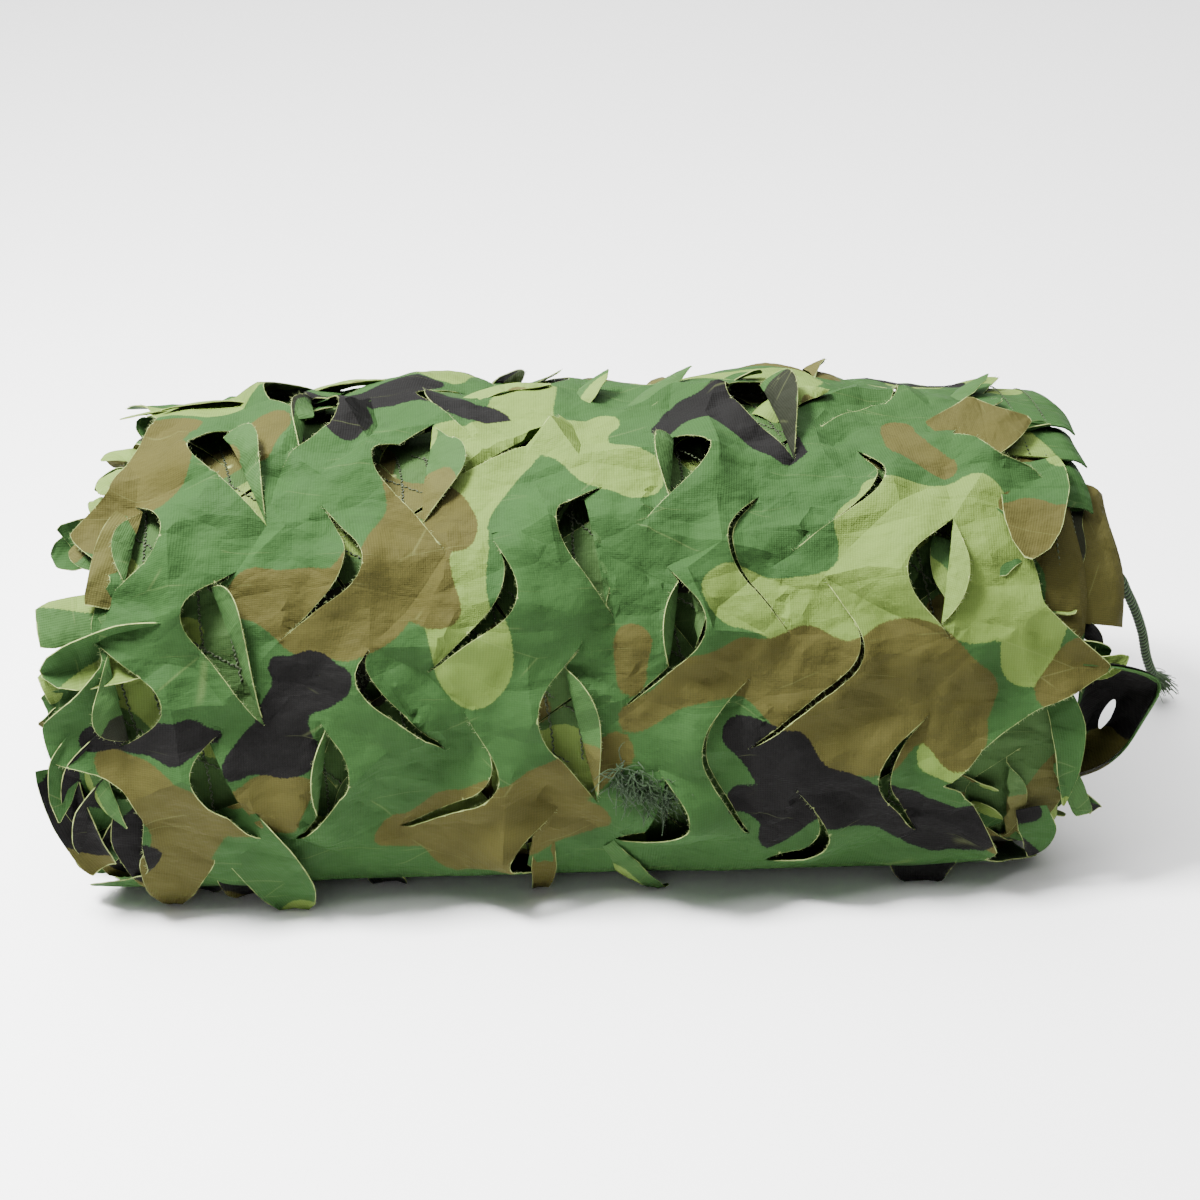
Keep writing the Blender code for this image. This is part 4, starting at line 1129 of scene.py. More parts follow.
# ---- loose leaves
LEAF_SHAPES = {
    # share of the way to the tip, share of the half width
    "point": ((0.0, 0.80), (0.35, 1.0), (0.75, 0.62), (1.0, 0.05)),
    "round": ((0.0, 0.85), (0.4, 1.0), (0.75, 0.84), (0.92, 0.52), (1.0, 0.10)),
    "blunt": ((0.0, 0.95), (0.5, 1.0), (0.93, 0.92), (1.0, 0.75)),
    "diamond": ((0.0, 0.15), (0.48, 1.0), (1.0, 0.08)),
}
SHADES = {
    # places on the print, x and s in millimetres, where it is plain or two colours meet
    "green": (22, 340), "green_to_brown": (-222, 352), "light": (-54, 300),
    "brown": (-98, 322), "black": (92, 236), "green_light": (-38, 292),
    "green_brown": (-112, 345), "black_brown": (104, 250), "black_green": (60, 240),
    "brown_green": (64, 300),
}
LEAVES = (
    # root, middle and tip as x, s and rise, half width, shape, cup, twist, shade
    ((-188, 322, -1), (-216, 323, 1), (-249, 320, 4), 12, "blunt", 0.15, 172, "green_light"),
    ((-188, 304, -2), (-216, 306, 0), (-248, 300, 3), 13, "round", 0.70, 14, "green_light"),
    ((-190, 292, -4), (-222, 293, -3), (-246, 286, 0), 12, "blunt", 0.45, 200, "light"),
    ((-216, 288, -2), (-233, 283, -2), (-247, 280, -4), 7, "blunt", 0.2, 0, "green"),
    ((-232, 262, -2), (-244, 245, 0), (-245, 222, 1), 8, "point", 0.2, 10, "green"),
    ((-232, 258, -3), (-230, 240, 2), (-213, 220, 3), 8, "point", 0.35, 165, "green_light"),
    ((-243, 246, -3), (-243, 217, -3), (-226, 190, -2), 10, "blunt", 0.4, 0, "black"),
    ((-206, 226, -2), (-214, 198, 3), (-202, 168, 4), 13, "point", 0.1, 0, "black"),
    ((-214, 234, -6), (-228, 214, -4), (-232, 186, -5), 14, "round", 0.3, 0, "black_green"),
    ((-206, 214, -7), (-222, 196, -4), (-222, 164, -4), 13, "round", 0.2, 0, "black"),
    ((-190, 212, 2), (-193, 194, 6), (-200, 160, 9), 17, "point", 0.1, 0, "brown"),
    ((-180, 200, -2), (-184, 176, 2), (-190, 150, 3), 11, "round", 0.3, 0, "black"),
    ((-164, 198, -2), (-160, 176, 3), (-164, 156, 5), 13, "round", 0.3, 0, "black"),
    ((-168, 224, 2), (-150, 196, 8), (-138, 166, 12), 17, "round", 0.1, 0, "green"),
    ((-214, 256, -6), (-232, 236, -5), (-232, 208, -6), 15, "round", 0.2, 0, "black_green"),
    ((-104, 176, -1), (-98, 160, 3), (-96, 146, 5), 9, "round", 0.2, 0, "black"),
    ((-24, 196, 1), (-24, 176, 5), (-30, 148, 11), 6, "point", 0.2, 0, "brown"),
    ((2, 190, 1), (18, 174, 6), (34, 158, 9), 8, "point", 0.3, 180, "green_light"),
    ((156, 178, -4), (156, 169, 4), (157, 159, 9), 16, "point", 0.15, 0, "black"),
    ((214, 226, -6), (222, 214, -3), (234, 206, -2), 5, "blunt", 0.2, 0, "black_green"),
    ((-210, 374, 2), (-217, 353, 8), (-222, 326, 3), 7, "blunt", 0.1, 200, "brown"),
    ((-208, 440, -3), (-221, 445, -2), (-229, 430, 0), 11, "point", 0.1, 185, "light"),
    ((-207, 420, -3), (-218, 412, -3), (-226, 398, -2), 9, "round", 0.1, 190, "light"),
    ((-172, 484, 1), (-198, 486, 5), (-228, 478, 5), 8, "point", 0.2, 182, "light"),
    ((-150, 472, 1), (-174, 474, 7), (-206, 468, 6), 9, "point", 0.1, 176, "light"),
    ((162, 418, 4), (190, 416, 9), (213, 424, 9), 24, "diamond", 0.0, -8, "brown"),
    ((203, 427, -2), (212, 425, 3), (225, 432, 5), 3, "round", 1.1, 0, "green"),
    ((178, 462, 1), (190, 470, 8), (204, 478, 12), 9, "point", 0.3, 190, "green"),
    ((206, 396, 4), (209, 368, 12), (195, 332, 9), 16, "round", 0.10, 0, "green_to_brown"),
    ((-140, 458, 1), (-121, 460, 3), (-102, 462, 1), 15, "round", 0.0, 0, "green"),
    ((178, 340, 1), (188, 341, 4), (199, 343, 0), 17, "point", 0.05, 0, "green"),
    ((161, 343, 2), (154, 320, 7), (178, 300, 2), 7, "round", 0.15, 185, "green_light"),
    ((211, 269, -2), (221, 248, 3), (218, 211, -1), 8, "point", 0.15, 0, "green"),
    ((222, 307, -8), (229, 301, -6), (233, 293, -8), 4, "round", 0.2, 0, "black"),
    ((203, 210, 2), (208, 195, 3), (205, 180, 2), 9, "point", 0.1, 0, "black_green"),
    ((214, 232, -2), (222, 222, 2), (228, 208, 2), 5, "blunt", 0.2, 180, "green"),
    ((16, 446, 1), (34, 456, 8), (54, 468, 13), 10, "point", 0.3, 184, "green"),
    ((-66, 462, 1), (-46, 470, 9), (-16, 466, 6), 11, "round", 0.3, 180, "light"),
    ((84, 442, 1), (98, 452, 12), (118, 444, 8), 11, "round", 0.5, 175, "light"),
    ((-6, 452, 1), (2, 462, 8), (12, 472, 11), 9, "point", 0.2, 190, "green_light"),
    ((60, 452, 1), (72, 462, 9), (88, 468, 9), 9, "round", 0.3, 10, "green"),
    ((-144, 498, 1), (-122, 492, 7), (-98, 486, 5), 8, "round", 0.3, 180, "light"),
)
END_LEAVES = 46  # further leaf tips at each end, dealt round the section
END_FROM, END_SHORT = 60.0, 130.0  # from this s, over the girth less this, in millimetres
END_STIR = 0.8  # of the space for each, by which a tip is moved at most
END_LEAF = ((10, 24), (4.5, 9.5))  # their lengths and half widths in millimetres
END_DEPTH = (4, 26)  # of their roots, in millimetres
END_LEAN, END_RISE = (-14, 14), (-4, 7)  # of their tips
END_REACH = (0.7, 247)  # share of the length that sticks out, and x that no tip passes
END_SHAPES = ("point", "round", "point", "blunt")
END_CUP, END_TWIST = (0, 0.5), (-50, 230)
HEMS_FROM, HEMS_TO = 350, 515  # round the right end only hems show between these

LEAF_ALONG = np.append(np.linspace(0.0, 0.97, 16), 1.0)
LEAF_ACROSS = np.array((-1.0, -0.94, -0.66, -0.33, 0.0, 0.33, 0.66, 0.94, 1.0))
LEAF_CREASE = 0.9 * MM
LEAF_WOBBLE = 0.10  # of the half width, by which the leaf sways to and fro
LEAF_CLEAR = 0.8 * MM  # off the floor
ROOT_SINK = 4.0  # millimetres: a leaf starts this much under the cloth it comes out of


def leaf_grid(root, middle, tip, half, shape, cup, twist, shade):
    """One leaf: its spine is the quadratic curve through root and tip drawn towards the middle.

    At a share u of the spine the leaf is half * shape(u) wide to either side; a share v across
    it rises by cup * v^2 times that width. Twist turns the leaf about its spine; past a quarter
    turn its reverse side faces out. Slanting creases fold it to and fro.
    """
    u, v = LEAF_ALONG[:, None], LEAF_ACROSS
    root = (root[0], root[1], root[2] - ROOT_SINK)
    ends = np.array([on_roll(p[0] * MM, p[1] * MM, -p[2] * MM) for p in (root, middle, tip)])
    spine = (1 - u) ** 2 * ends[0] + 2 * u * (1 - u) * ends[1] + u ** 2 * ends[2]
    tangent = (1 - u) * (ends[1] - ends[0]) + u * (ends[2] - ends[1])
    tangent /= np.linalg.norm(tangent, axis=1)[:, None]
    x, s = middle[0] * MM, middle[1] * MM
    outward = on_roll(x, s, -3 * MM) - on_roll(x, s, 0.0)
    side = np.cross(tangent, outward)
    side /= np.linalg.norm(side, axis=1)[:, None]
    normal = np.cross(side, tangent)
    cos, sin = math.cos(math.radians(twist)), math.sin(math.radians(twist))
    side, normal = cos * side + sin * normal, cos * normal - sin * side
    table = np.array(LEAF_SHAPES[shape])
    width = half * MM * np.interp(u[:, 0], table[:, 0], table[:, 1])
    wobble = LEAF_WOBBLE * half * MM * np.sin(5.0 * u + root[0])
    across = v[None, :] * width[:, None] + wobble
    crease = np.abs(np.mod(2.3 * u + 0.8 * v + 0.37 * root[1], 1.0) - 0.5)
    lifted = cup * v[None, :] ** 2 * width[:, None] + LEAF_CREASE * crease
    corners = spine[:, None] + across[..., None] * side[:, None] + lifted[..., None] * normal[:, None]
    length = np.linalg.norm(ends[1] - ends[0]) + np.linalg.norm(ends[2] - ends[1])
    place = np.array(SHADES[shade]) * MM
    flat = np.stack([place[0] + across + 0 * u, place[1] + (u - 0.5) * length + 0 * across], axis=-1)
    return corners.reshape(-1, 3), flat.reshape(-1, 2)


def end_leaves(dealer):
    """Leaf tips dealt round both ends: their roots lie under the last turn, their tips stick out."""
    shades = sorted(SHADES)
    rows = []
    for side, line in ((-1, LEFT_TIPS), (1, RIGHT_TIPS)):
        table = np.array(line, float)
        for number in range(END_LEAVES):
            place = number + dealer.uniform(0, END_STIR)
            s = END_FROM + (GIRTH / MM - END_SHORT) * place / END_LEAVES
            if side == 1 and HEMS_FROM < s < HEMS_TO:
                continue
            end = np.interp(s, table[:, 1], table[:, 0])
            length, half = dealer.uniform(*END_LEAF[0]), dealer.uniform(*END_LEAF[1])
            deep = -dealer.uniform(*END_DEPTH)
            lean, rise = dealer.uniform(*END_LEAN), dealer.uniform(*END_RISE)
            reach = min(length * END_REACH[0], END_REACH[1] - abs(end))
            root = (end - side * 10, s, deep)
            middle = (end + side * (reach - 4), s + 0.5 * lean, deep + 1 + rise)
            tip = (end + side * reach, s + lean, deep + rise)
            shape = END_SHAPES[number % len(END_SHAPES)]
            cup, twist = dealer.uniform(*END_CUP), dealer.uniform(*END_TWIST)
            shade = shades[int(dealer.integers(len(shades)))]
            rows.append((root, middle, tip, half, shape, cup, twist, shade))
    return rows


def build_loose_leaves(finish):
    """The leaves that stick out of the ends, stand on top and hang to the table."""
    dealer = np.random.default_rng(23)
    rows, columns = len(LEAF_ALONG), len(LEAF_ACROSS)
    leaves = [leaf_grid(*leaf) for leaf in list(LEAVES) + end_leaves(dealer)]
    corners, flats, faces = joined(leaves, rows, columns)
    corners[:, 2] = np.maximum(corners[:, 2], LEAF_CLEAR)
    faces = faces[:, ::-1]
    past_root = np.arange(len(corners)) // columns % rows > 1
    edge = edge_values(flats, faces, past_root)
    return cloth_piece("loose_leaves", corners, faces, flats, edge, CLOTH_THICK, finish)


# ---- hems at the right end
HEMS = (
    # x and s ranges, rise at the left and right edge, the print's place at the hem's start, all
    # in millimetres, and whether the print runs across the hem there
    ((190, 225), (294, 420), (-1.0, -3.5), (30, 256), True),
    ((208, 246), (306, 400), (-5.5, -11.0), (67, 256), True),
    ((192, 238), (430, 520), (1.0, 7.0), (2, 318), False),
    ((192, 237), (402, 438), (-1.0, 2.5), (-70, 296), False),
    ((192, 234), (370, 410), (-3.0, -2.0), (-62, 290), False),
)
HEM_GRID = (90, 16)  # corners along and across a hem
HEM_SWAY, HEM_WAVE = 1.3, 0.8  # millimetres that its outer edge and its face wander
HEM_TUCK, HEM_TUCK_FROM = 3.2, 0.9  # its edge drops this much past this share of its width
HEM_THICK = 0.8 * MM


def build_hems(finish):
    """Hems of the folded layers: bands across the right end, their outer edge turned under.

    Slow waves, in s for the edge and in both ways for the face, keep them from lying flat.
    """
    bands = []
    rows, columns = HEM_GRID
    for (x0, x1), (s0, s1), (rise0, rise1), place, turned in HEMS:
        s, share = np.meshgrid(np.linspace(s0, s1, rows), np.linspace(0, 1, columns), indexing="ij")
        x = x0 + share * (x1 - x0) + HEM_SWAY * np.sin(s / 13.0 + x0) * share
        rise = rise0 + share * (rise1 - rise0) + HEM_WAVE * np.sin(s / 17.0 + 3 * share)
        rise = rise - HEM_TUCK * np.maximum(share - HEM_TUCK_FROM, 0.0) / 0.1
        across, along = x.ravel() - x0, s.ravel() - s0
        if turned:
            across, along = along, across
        bands.append((on_roll(x.ravel() * MM, s.ravel() * MM, -rise.ravel() * MM),
                      np.stack([place[0] + across, place[1] + along], axis=1) * MM))
    corners, flats, faces = joined(bands, rows, columns)
    outward = on_roll(0.0, 0.3, -MM) - on_roll(0.0, 0.3, 0.0)
    if np.sum(normals_of(corners, faces) @ outward) < 0:
        faces = faces[:, ::-1]
    return cloth_piece("hem_bands", corners, faces, flats, np.zeros(len(flats)), HEM_THICK,
                       finish)


# ---- the loose corner
CORNER_FRONT_Y = -105 * MM
CORNER_BACK_Y = -62 * MM
CORNER_RIMS = (
    # front rim x and z, back rim x and z, in millimetres
    (222.5, 115, 223.5, 86), (240, 113, 244, 85), (255, 108, 255, 78), (259, 101, 258, 68),
    (254, 86, 256, 56), (247, 70, 251, 46), (237, 60, 244, 38), (222.5, 54, 223.5, 33),
)
CORNER_ROOT = 223 * MM  # x where the corner comes out of the roll
CORNER_STEPS = 8  # of the curve from one rim place to the next
CORNER_ROWS = 16  # from the front rim to the back rim
CORNER_WAVE = 0.8 * MM
CORNER_THICK = 0.6 * MM
CORNER_PRINT = np.array((148, -10)) * MM  # the print's place on the bight
LENS_MIDDLE = np.array((242, 78)) * MM  # of the hole that light shows through, x and z
LENS_HALF = (2.8, 8.0)  # its half width and height in millimetres
LENS_LEAN = 0.30  # it leans this much to the right on the way up
LENS_ROWS = 12  # from the corner's outline in to the lens
LENS_STEP = 2.4 * MM  # along the outline
LENS_RIPPLE = 2.2 * MM
LENS_PRINT = np.array((-156.5, 330)) * MM  # the print's place on the folds inside
CORNER_SINK = 3 * MM  # the folds inside start this far behind the front rim
CORNER_HOLLOW = 16 * MM  # and go back this much further


def build_corner(finish):
    """The hem's corner: a bight of cloth, and inside it folds that leave a small lens open.

    The folds are a sheet between two closed loops: the bight's own outline and the lens, drawn
    back in the middle by a half sine.
    """
    rims = catmull(np.array(CORNER_RIMS, float), CORNER_STEPS) * MM
    share = np.linspace(0.0, 1.0, CORNER_ROWS)[:, None]
    x = rims[:, 0] + share * (rims[:, 2] - rims[:, 0])
    z = rims[:, 1] + share * (rims[:, 3] - rims[:, 1])
    y = CORNER_FRONT_Y + share * (CORNER_BACK_Y - CORNER_FRONT_Y) + 0 * x
    wave = CORNER_WAVE * np.sin(9.0 * share + 40.0 * x) * np.sin(2.0 + z / (11 * MM))
    bight = np.stack([x + wave, y, z], axis=2).reshape(-1, 3)
    bight_faces = grid_faces(CORNER_ROWS, len(rims))[:, ::-1]
    root = rims[::-1, :2][::CORNER_STEPS] * (0.0, 1.0) + (CORNER_ROOT, 0.0)
    outline = np.vstack([rims[:, :2], root, rims[:1, :2]])
    outline = resampled(outline, LENS_STEP)[:-1]
    turn = np.arctan2(outline[:, 1] - LENS_MIDDLE[1], outline[:, 0] - LENS_MIDDLE[0])
    lens = np.stack([np.cos(turn), np.sin(turn)], axis=1) * np.array(LENS_HALF) * MM
    lens[:, 0] += LENS_LEAN * lens[:, 1]
    lens += LENS_MIDDLE
    part = np.linspace(0.0, 1.0, LENS_ROWS)[:, None]
    plane = outline * (1 - part[..., None]) + lens * part[..., None]
    ripple = LENS_RIPPLE * np.sin(3.0 * turn + 5.0 * part) * np.sin(np.pi * part)
    y = CORNER_FRONT_Y + CORNER_SINK + CORNER_HOLLOW * np.sin(0.5 * np.pi * part) + ripple
    inner = np.stack([plane[..., 0], y, plane[..., 1]], axis=2)
    inner = np.concatenate([inner, inner[:, :1]], axis=1)
    inner_faces = grid_faces(LENS_ROWS, inner.shape[1], len(bight))
    inner = inner.reshape(-1, 3)
    corners = np.vstack([bight, inner])
    faces = np.vstack([bight_faces, inner_faces])
    flat = np.vstack([
        np.stack([bight[:, 1], bight[:, 0] + bight[:, 2]], axis=1) + CORNER_PRINT,
        inner[:, [0, 2]] * (1.0, -1.0) + LENS_PRINT])
    piece = cloth_piece("loose_corner_cloth", corners, faces, flat, np.zeros(len(flat)),
                        CORNER_THICK, finish)
    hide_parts("loose_corner")
    return piece


# ---- cord and threads
CORD_DIAMETER = 4.5 * MM
CORD_ROUTE = (
    # x, y, z in millimetres: out of the core, over, and down to the table behind the corner
    (240, -12, 111), (249, -9, 112), (258, -4, 111.5), (266.6, 0, 107.5), (274, 8, 95),
    (282.5, 18, 79.6), (291.5, 30, 60.5), (299.4, 43, 39.8), (305.4, 51, 27), (309, 56, 21),
)
CORD_STRANDS = 3
CORD_LAY = 10.5 * MM  # along the cord for one turn of a strand
CORD_STEP, CORD_SIDES = 0.9 * MM, 24
CORD_SWELL = (0.80, 0.40)  # shares of the radius: its least, and what the strands add
FRAY_TIP = np.array((322, 69, 5)) * MM
FRAY_COUNT = 170
FRAY_SPREAD = np.array((3.5, 3.5, 3.2)) * MM
FRAY_REACH = (0.55, 1.05)  # of the way to the tip
FRAY_RADIUS = (0.30, 0.48)
FRAY_ROOT, FRAY_BOW = 0.75, 1.6  # spread of the strands' roots and middles in millimetres
FRAY_SUNK = 0.2  # of the way to the tip, by which the roots lie inside the cord
FRAY_CLEAR = (0.8 * MM, 1.5 * MM)  # tips and middles off the floor
FRAY_UNSHADED = 0.9  # how high a fray thread counts in the cord's finish, so its painted groove shade hardly darkens the fray
THREAD_ASIDE = np.array((0.31, 0.52, 0.79))  # a direction that threads hardly run in
THREAD_NARROWS = 0.55  # of a thread's radius, from its root to its tip


def tubes(starts, middles, ends, radii, sides, steps):
    """Many thin threads at once: quadratic curves, each with rings that narrow to its tip."""
    t = np.linspace(0.0, 1.0, steps)[None, :, None]
    starts, middles, ends = starts[:, None], middles[:, None], ends[:, None]
    line = (1 - t) ** 2 * starts + 2 * t * (1 - t) * middles + t ** 2 * ends
    tangent = unit((1 - t) * (middles - starts) + t * (ends - middles))
    side = unit(np.cross(tangent, THREAD_ASIDE))
    up = np.cross(tangent, side)
    angle = math.tau * np.arange(sides) / sides
    narrow = (1.0 - THREAD_NARROWS * t) * radii[:, None, None]
    ring = (np.cos(angle)[:, None] * side[:, :, None] + np.sin(angle)[:, None] * up[:, :, None])
    corners = line[:, :, None] + ring * narrow[:, :, None]
    count = len(starts)
    one = []
    for step in range(steps - 1):
        for k in range(sides):
            a, b = step * sides + k, step * sides + (k + 1) % sides
            one += [(a, b, b + sides), (a, b + sides, a + sides)]
    for k in range(1, sides - 1):
        top = (steps - 1) * sides
        one += [(0, k + 1, k), (top, top + k, top + k + 1)]
    faces = (np.array(one)[None] + (np.arange(count) * steps * sides)[:, None, None]).reshape(-1, 3)
    return corners.reshape(-1, 3), faces


def build_cord(finish):
    """The edge cord: laid from three strands, so that its radius swells three times round.

    r = R (0.80 + 0.40 |cos(1.5 (angle - turn))|), where turn grows evenly along the cord.
    """
    route = resampled(catmull(np.array(CORD_ROUTE, float) * MM, 20), CORD_STEP)
    run = np.arange(len(route)) * CORD_STEP
    tangent = unit(np.gradient(route, axis=0))
    side = unit(np.cross(tangent, (0.0, 1.0, 0.0)))
    up = np.cross(tangent, side)
    sides = CORD_SIDES
    angle = math.tau * np.arange(sides) / sides
    swell = np.abs(np.cos(0.5 * CORD_STRANDS * (angle[None] - math.tau * run[:, None] / CORD_LAY)))
    radius = 0.5 * CORD_DIAMETER * (CORD_SWELL[0] + CORD_SWELL[1] * swell)
    ring = np.cos(angle)[None, :, None] * side[:, None] + np.sin(angle)[None, :, None] * up[:, None]
    corners = (route[:, None] + radius[..., None] * ring).reshape(-1, 3)
    rows = len(route)
    k = np.arange(sides)
    after = (k + 1) % sides
    ring_starts = np.arange(rows - 1)[:, None] * sides
    a, b = (ring_starts + k).ravel(), (ring_starts + after).ravel()
    first, last = np.full(sides, len(corners)), np.full(sides, len(corners) + 1)
    base = (rows - 1) * sides
    faces = np.vstack([np.stack(face, axis=1) for face in (
        (a, b, b + sides), (a, b + sides, a + sides), (first, after, k),
        (last, base + k, base + after))])
    corners = np.vstack([corners, route[:1], route[-1:]])
    # how high each corner lies on its strand: the cord's finish paints shade into the low places
    strand = np.append(swell.ravel(), (0.0, 0.0))
    piece = add_piece("edge_cord_laid", corners, faces, finish, {"strand": strand})
    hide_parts("edge_cord")
    dealer = np.random.default_rng(5)
    axis = FRAY_TIP - route[-1]
    spread = dealer.normal(0.0, 1.0, (FRAY_COUNT, 3)) * FRAY_SPREAD
    starts = route[-1] + dealer.normal(0.0, FRAY_ROOT, (FRAY_COUNT, 3)) * MM - FRAY_SUNK * axis
    ends = route[-1] + axis * dealer.uniform(*FRAY_REACH, (FRAY_COUNT, 1)) + spread
    ends[:, 2] = np.maximum(ends[:, 2], FRAY_CLEAR[0])
    middles = 0.5 * (starts + ends) + dealer.normal(0.0, FRAY_BOW, (FRAY_COUNT, 3)) * MM
    middles[:, 2] = np.maximum(middles[:, 2], FRAY_CLEAR[1])
    radii = dealer.uniform(*FRAY_RADIUS, FRAY_COUNT) * MM
    places, threads = tubes(starts, middles, ends, radii, 5, 7)
    lit = {"strand": np.full(len(places), FRAY_UNSHADED)}
    fray = add_piece("cord_fray_threads", places, threads, finish, lit)
    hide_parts("cord_fray")


# ---- stitches, cut threads
STITCH = (1.35 * MM, 0.55 * MM, 0.50 * MM)  # half length, width and height of one loop
STITCH_PITCH = 2.1 * MM
STITCH_LINES = ((96, 13), (-38, 24))  # direction in degrees and spacing in millimetres
STITCH_NEAR = 27 * MM  # only this close to a gaping cut
STITCH_WANDER, STITCH_WAVE = 3.0 * MM, 23 * MM  # height and radian of a row's sine
STITCH_PULL = 5 * MM  # or one pulled open by more than this
STITCH_LEAN = 27  # degrees that its loops lean to and fro
STITCH_FIELD = 900  # millimetres: rows cover a square twice as wide
STITCH_PROUD = 0.5 * MM  # off the layer under the last turn
HEM_STITCH_PITCH = 3.4
HEM_STITCHES = (
    # x, s from and to and rise in millimetres
    (201, 300, 416, -0.9), (213, 300, 416, -2.1), (224, 312, 396, -7.0), (209, 432, 516, 4.1),
    (209, 404, 430, 0.9), (217, 404, 430, 1.5), (223, 432, 516, 5.9), (212, 374, 402, -1.9),
)
FUZZ_COUNT = 9000
FUZZ_LENGTH, FUZZ_POWER, FUZZ_SHARE = (0.4, 1.9), 1.5, 0.7  # in millimetres, then shortened
FUZZ_LEAN, FUZZ_LIFT = (0.0, 0.7), (0.15, 0.35)  # mean and spread, along the edge and off the cloth
FUZZ_BOW = 0.12  # of a fibre's length, as are the two above
FUZZ_CLEAR = 0.2 * MM  # off the floor
FUZZ_SINK = 0.2 * MM  # the fibres start this far inside the edge
FUZZ_RADIUS, CLUMP_RADIUS = (0.05, 0.09), (0.26, 0.46)
CLUMP_AT = ((8, 238), (32, 226))  # of loose threads, from x and s to x and s
CLUMP_COUNT = 260
CLUMP_WIDTH, CLUMP_BOW = 3, 2.6  # spreads in millimetres, to each side and of the middles
CLUMP_ROOTS, CLUMP_TIPS = (0, 4), (3, 10)  # their rise in millimetres
CLUMP_DRIFT = ((1, 5), (-3, 5))  # mean and spread of a thread's run in x and s


def stitch_row(x, s, rise, turn):
    """Loops of thread on the roll: an octahedron at each place, its long axis turned in (x, s)."""
    half_length, half_width, half_height = STITCH
    centre = on_roll(x, s, -rise)
    step = 0.5 * MM
    along = unit(on_roll(x + step * np.cos(turn), s + step * np.sin(turn), -rise) - centre)
    outward = unit(on_roll(x, s, -rise - step) - centre)
    side = np.cross(along, outward)
    corners = np.stack([centre + along * half_length, centre + side * half_width,
                        centre - along * half_length, centre - side * half_width,
                        centre + outward * half_height, centre - outward * half_height], axis=1)
    one = np.array([(0, 4, 1), (1, 4, 2), (2, 4, 3), (3, 4, 0), (1, 5, 0), (2, 5, 1), (3, 5, 2),
                    (0, 5, 3)])
    faces = (one[None] + 6 * np.arange(len(x))[:, None, None]).reshape(-1, 3)
    return corners.reshape(-1, 3), faces


def build_stitches(cuts, finish):
    """Chain stitch where the cuts gape: straight rows of loops that lean to and fro."""
    holes = np.array([0.5 * (cut.vertex + 0.5 * (cut.upper + cut.lower)) for cut in cuts
                      if abs(cut.curl) > GAPES_FROM or cut.pull > STITCH_PULL])
    places = []
    for turn, spacing in STITCH_LINES:
        angle = math.radians(turn)
        ahead = np.array((math.cos(angle), math.sin(angle)))
        aside = np.array((-ahead[1], ahead[0]))
        for row in np.arange(-STITCH_FIELD, STITCH_FIELD, spacing) * MM:
            run = np.arange(-STITCH_FIELD * MM, STITCH_FIELD * MM, STITCH_PITCH)
            line = run[:, None] * ahead + row * aside
            line = line + (STITCH_WANDER * np.sin(run / STITCH_WAVE))[:, None] * aside
            lean = math.radians(STITCH_LEAN) * (1 - 2 * (np.arange(len(run)) % 2))
            places.append(np.column_stack([line, angle + lean]))
    places = np.vstack(places)
    away = np.full(len(places), 1.0)
    for hole in holes:
        away = np.minimum(away, np.hypot(places[:, 0] - hole[0], places[:, 1] - hole[1]))
    places = places[away < STITCH_NEAR]
    x, s, turn = places.T
    rows = [(x, s, under_rise(x, s) + STITCH_PROUD, turn)]
    for hem_x, s_from, s_to, rise in HEM_STITCHES:
        s = np.arange(s_from, s_to, HEM_STITCH_PITCH) * MM
        rows.append((np.full(len(s), hem_x * MM), s, np.full(len(s), rise * MM),
                     np.full(len(s), 1.57)))
    corners, faces = stitch_row(*(np.concatenate([row[i] for row in rows]) for i in range(4)))
    return add_piece("chain_stitches", corners, faces, finish, sharp=0)


def build_fuzz(lips, finish):
    """Cut threads along the rims: short fibres that leave the cloth in its own plane."""
    dealer = np.random.default_rng(41)
    ends, normals = lips
    pick = dealer.integers(0, len(ends), FUZZ_COUNT)
    start, after = ends[pick, 0], ends[pick, 1]
    share = dealer.uniform(0, 1, (FUZZ_COUNT, 1))
    root = start + share * (after - start)
    along = unit(after - start)
    away = np.cross(along, normals[pick])
    length = dealer.uniform(*FUZZ_LENGTH, (FUZZ_COUNT, 1)) ** FUZZ_POWER * MM * FUZZ_SHARE
    lean = dealer.normal(*FUZZ_LEAN, (FUZZ_COUNT, 1))
    lift = dealer.normal(*FUZZ_LIFT, (FUZZ_COUNT, 1))
    tip = root + unit(away + lean * along + lift * normals[pick]) * length
    middle = 0.5 * (root + tip) + dealer.normal(0.0, FUZZ_BOW, (FUZZ_COUNT, 3)) * length
    root = root - away * FUZZ_SINK
    radii = dealer.uniform(*FUZZ_RADIUS, FUZZ_COUNT) * MM
    corners, faces = tubes(root, middle, tip, radii, 3, 3)
    corners[:, 2] = np.maximum(corners[:, 2], FUZZ_CLEAR)
    return add_piece("cut_threads", corners, faces, finish, sharp=0)


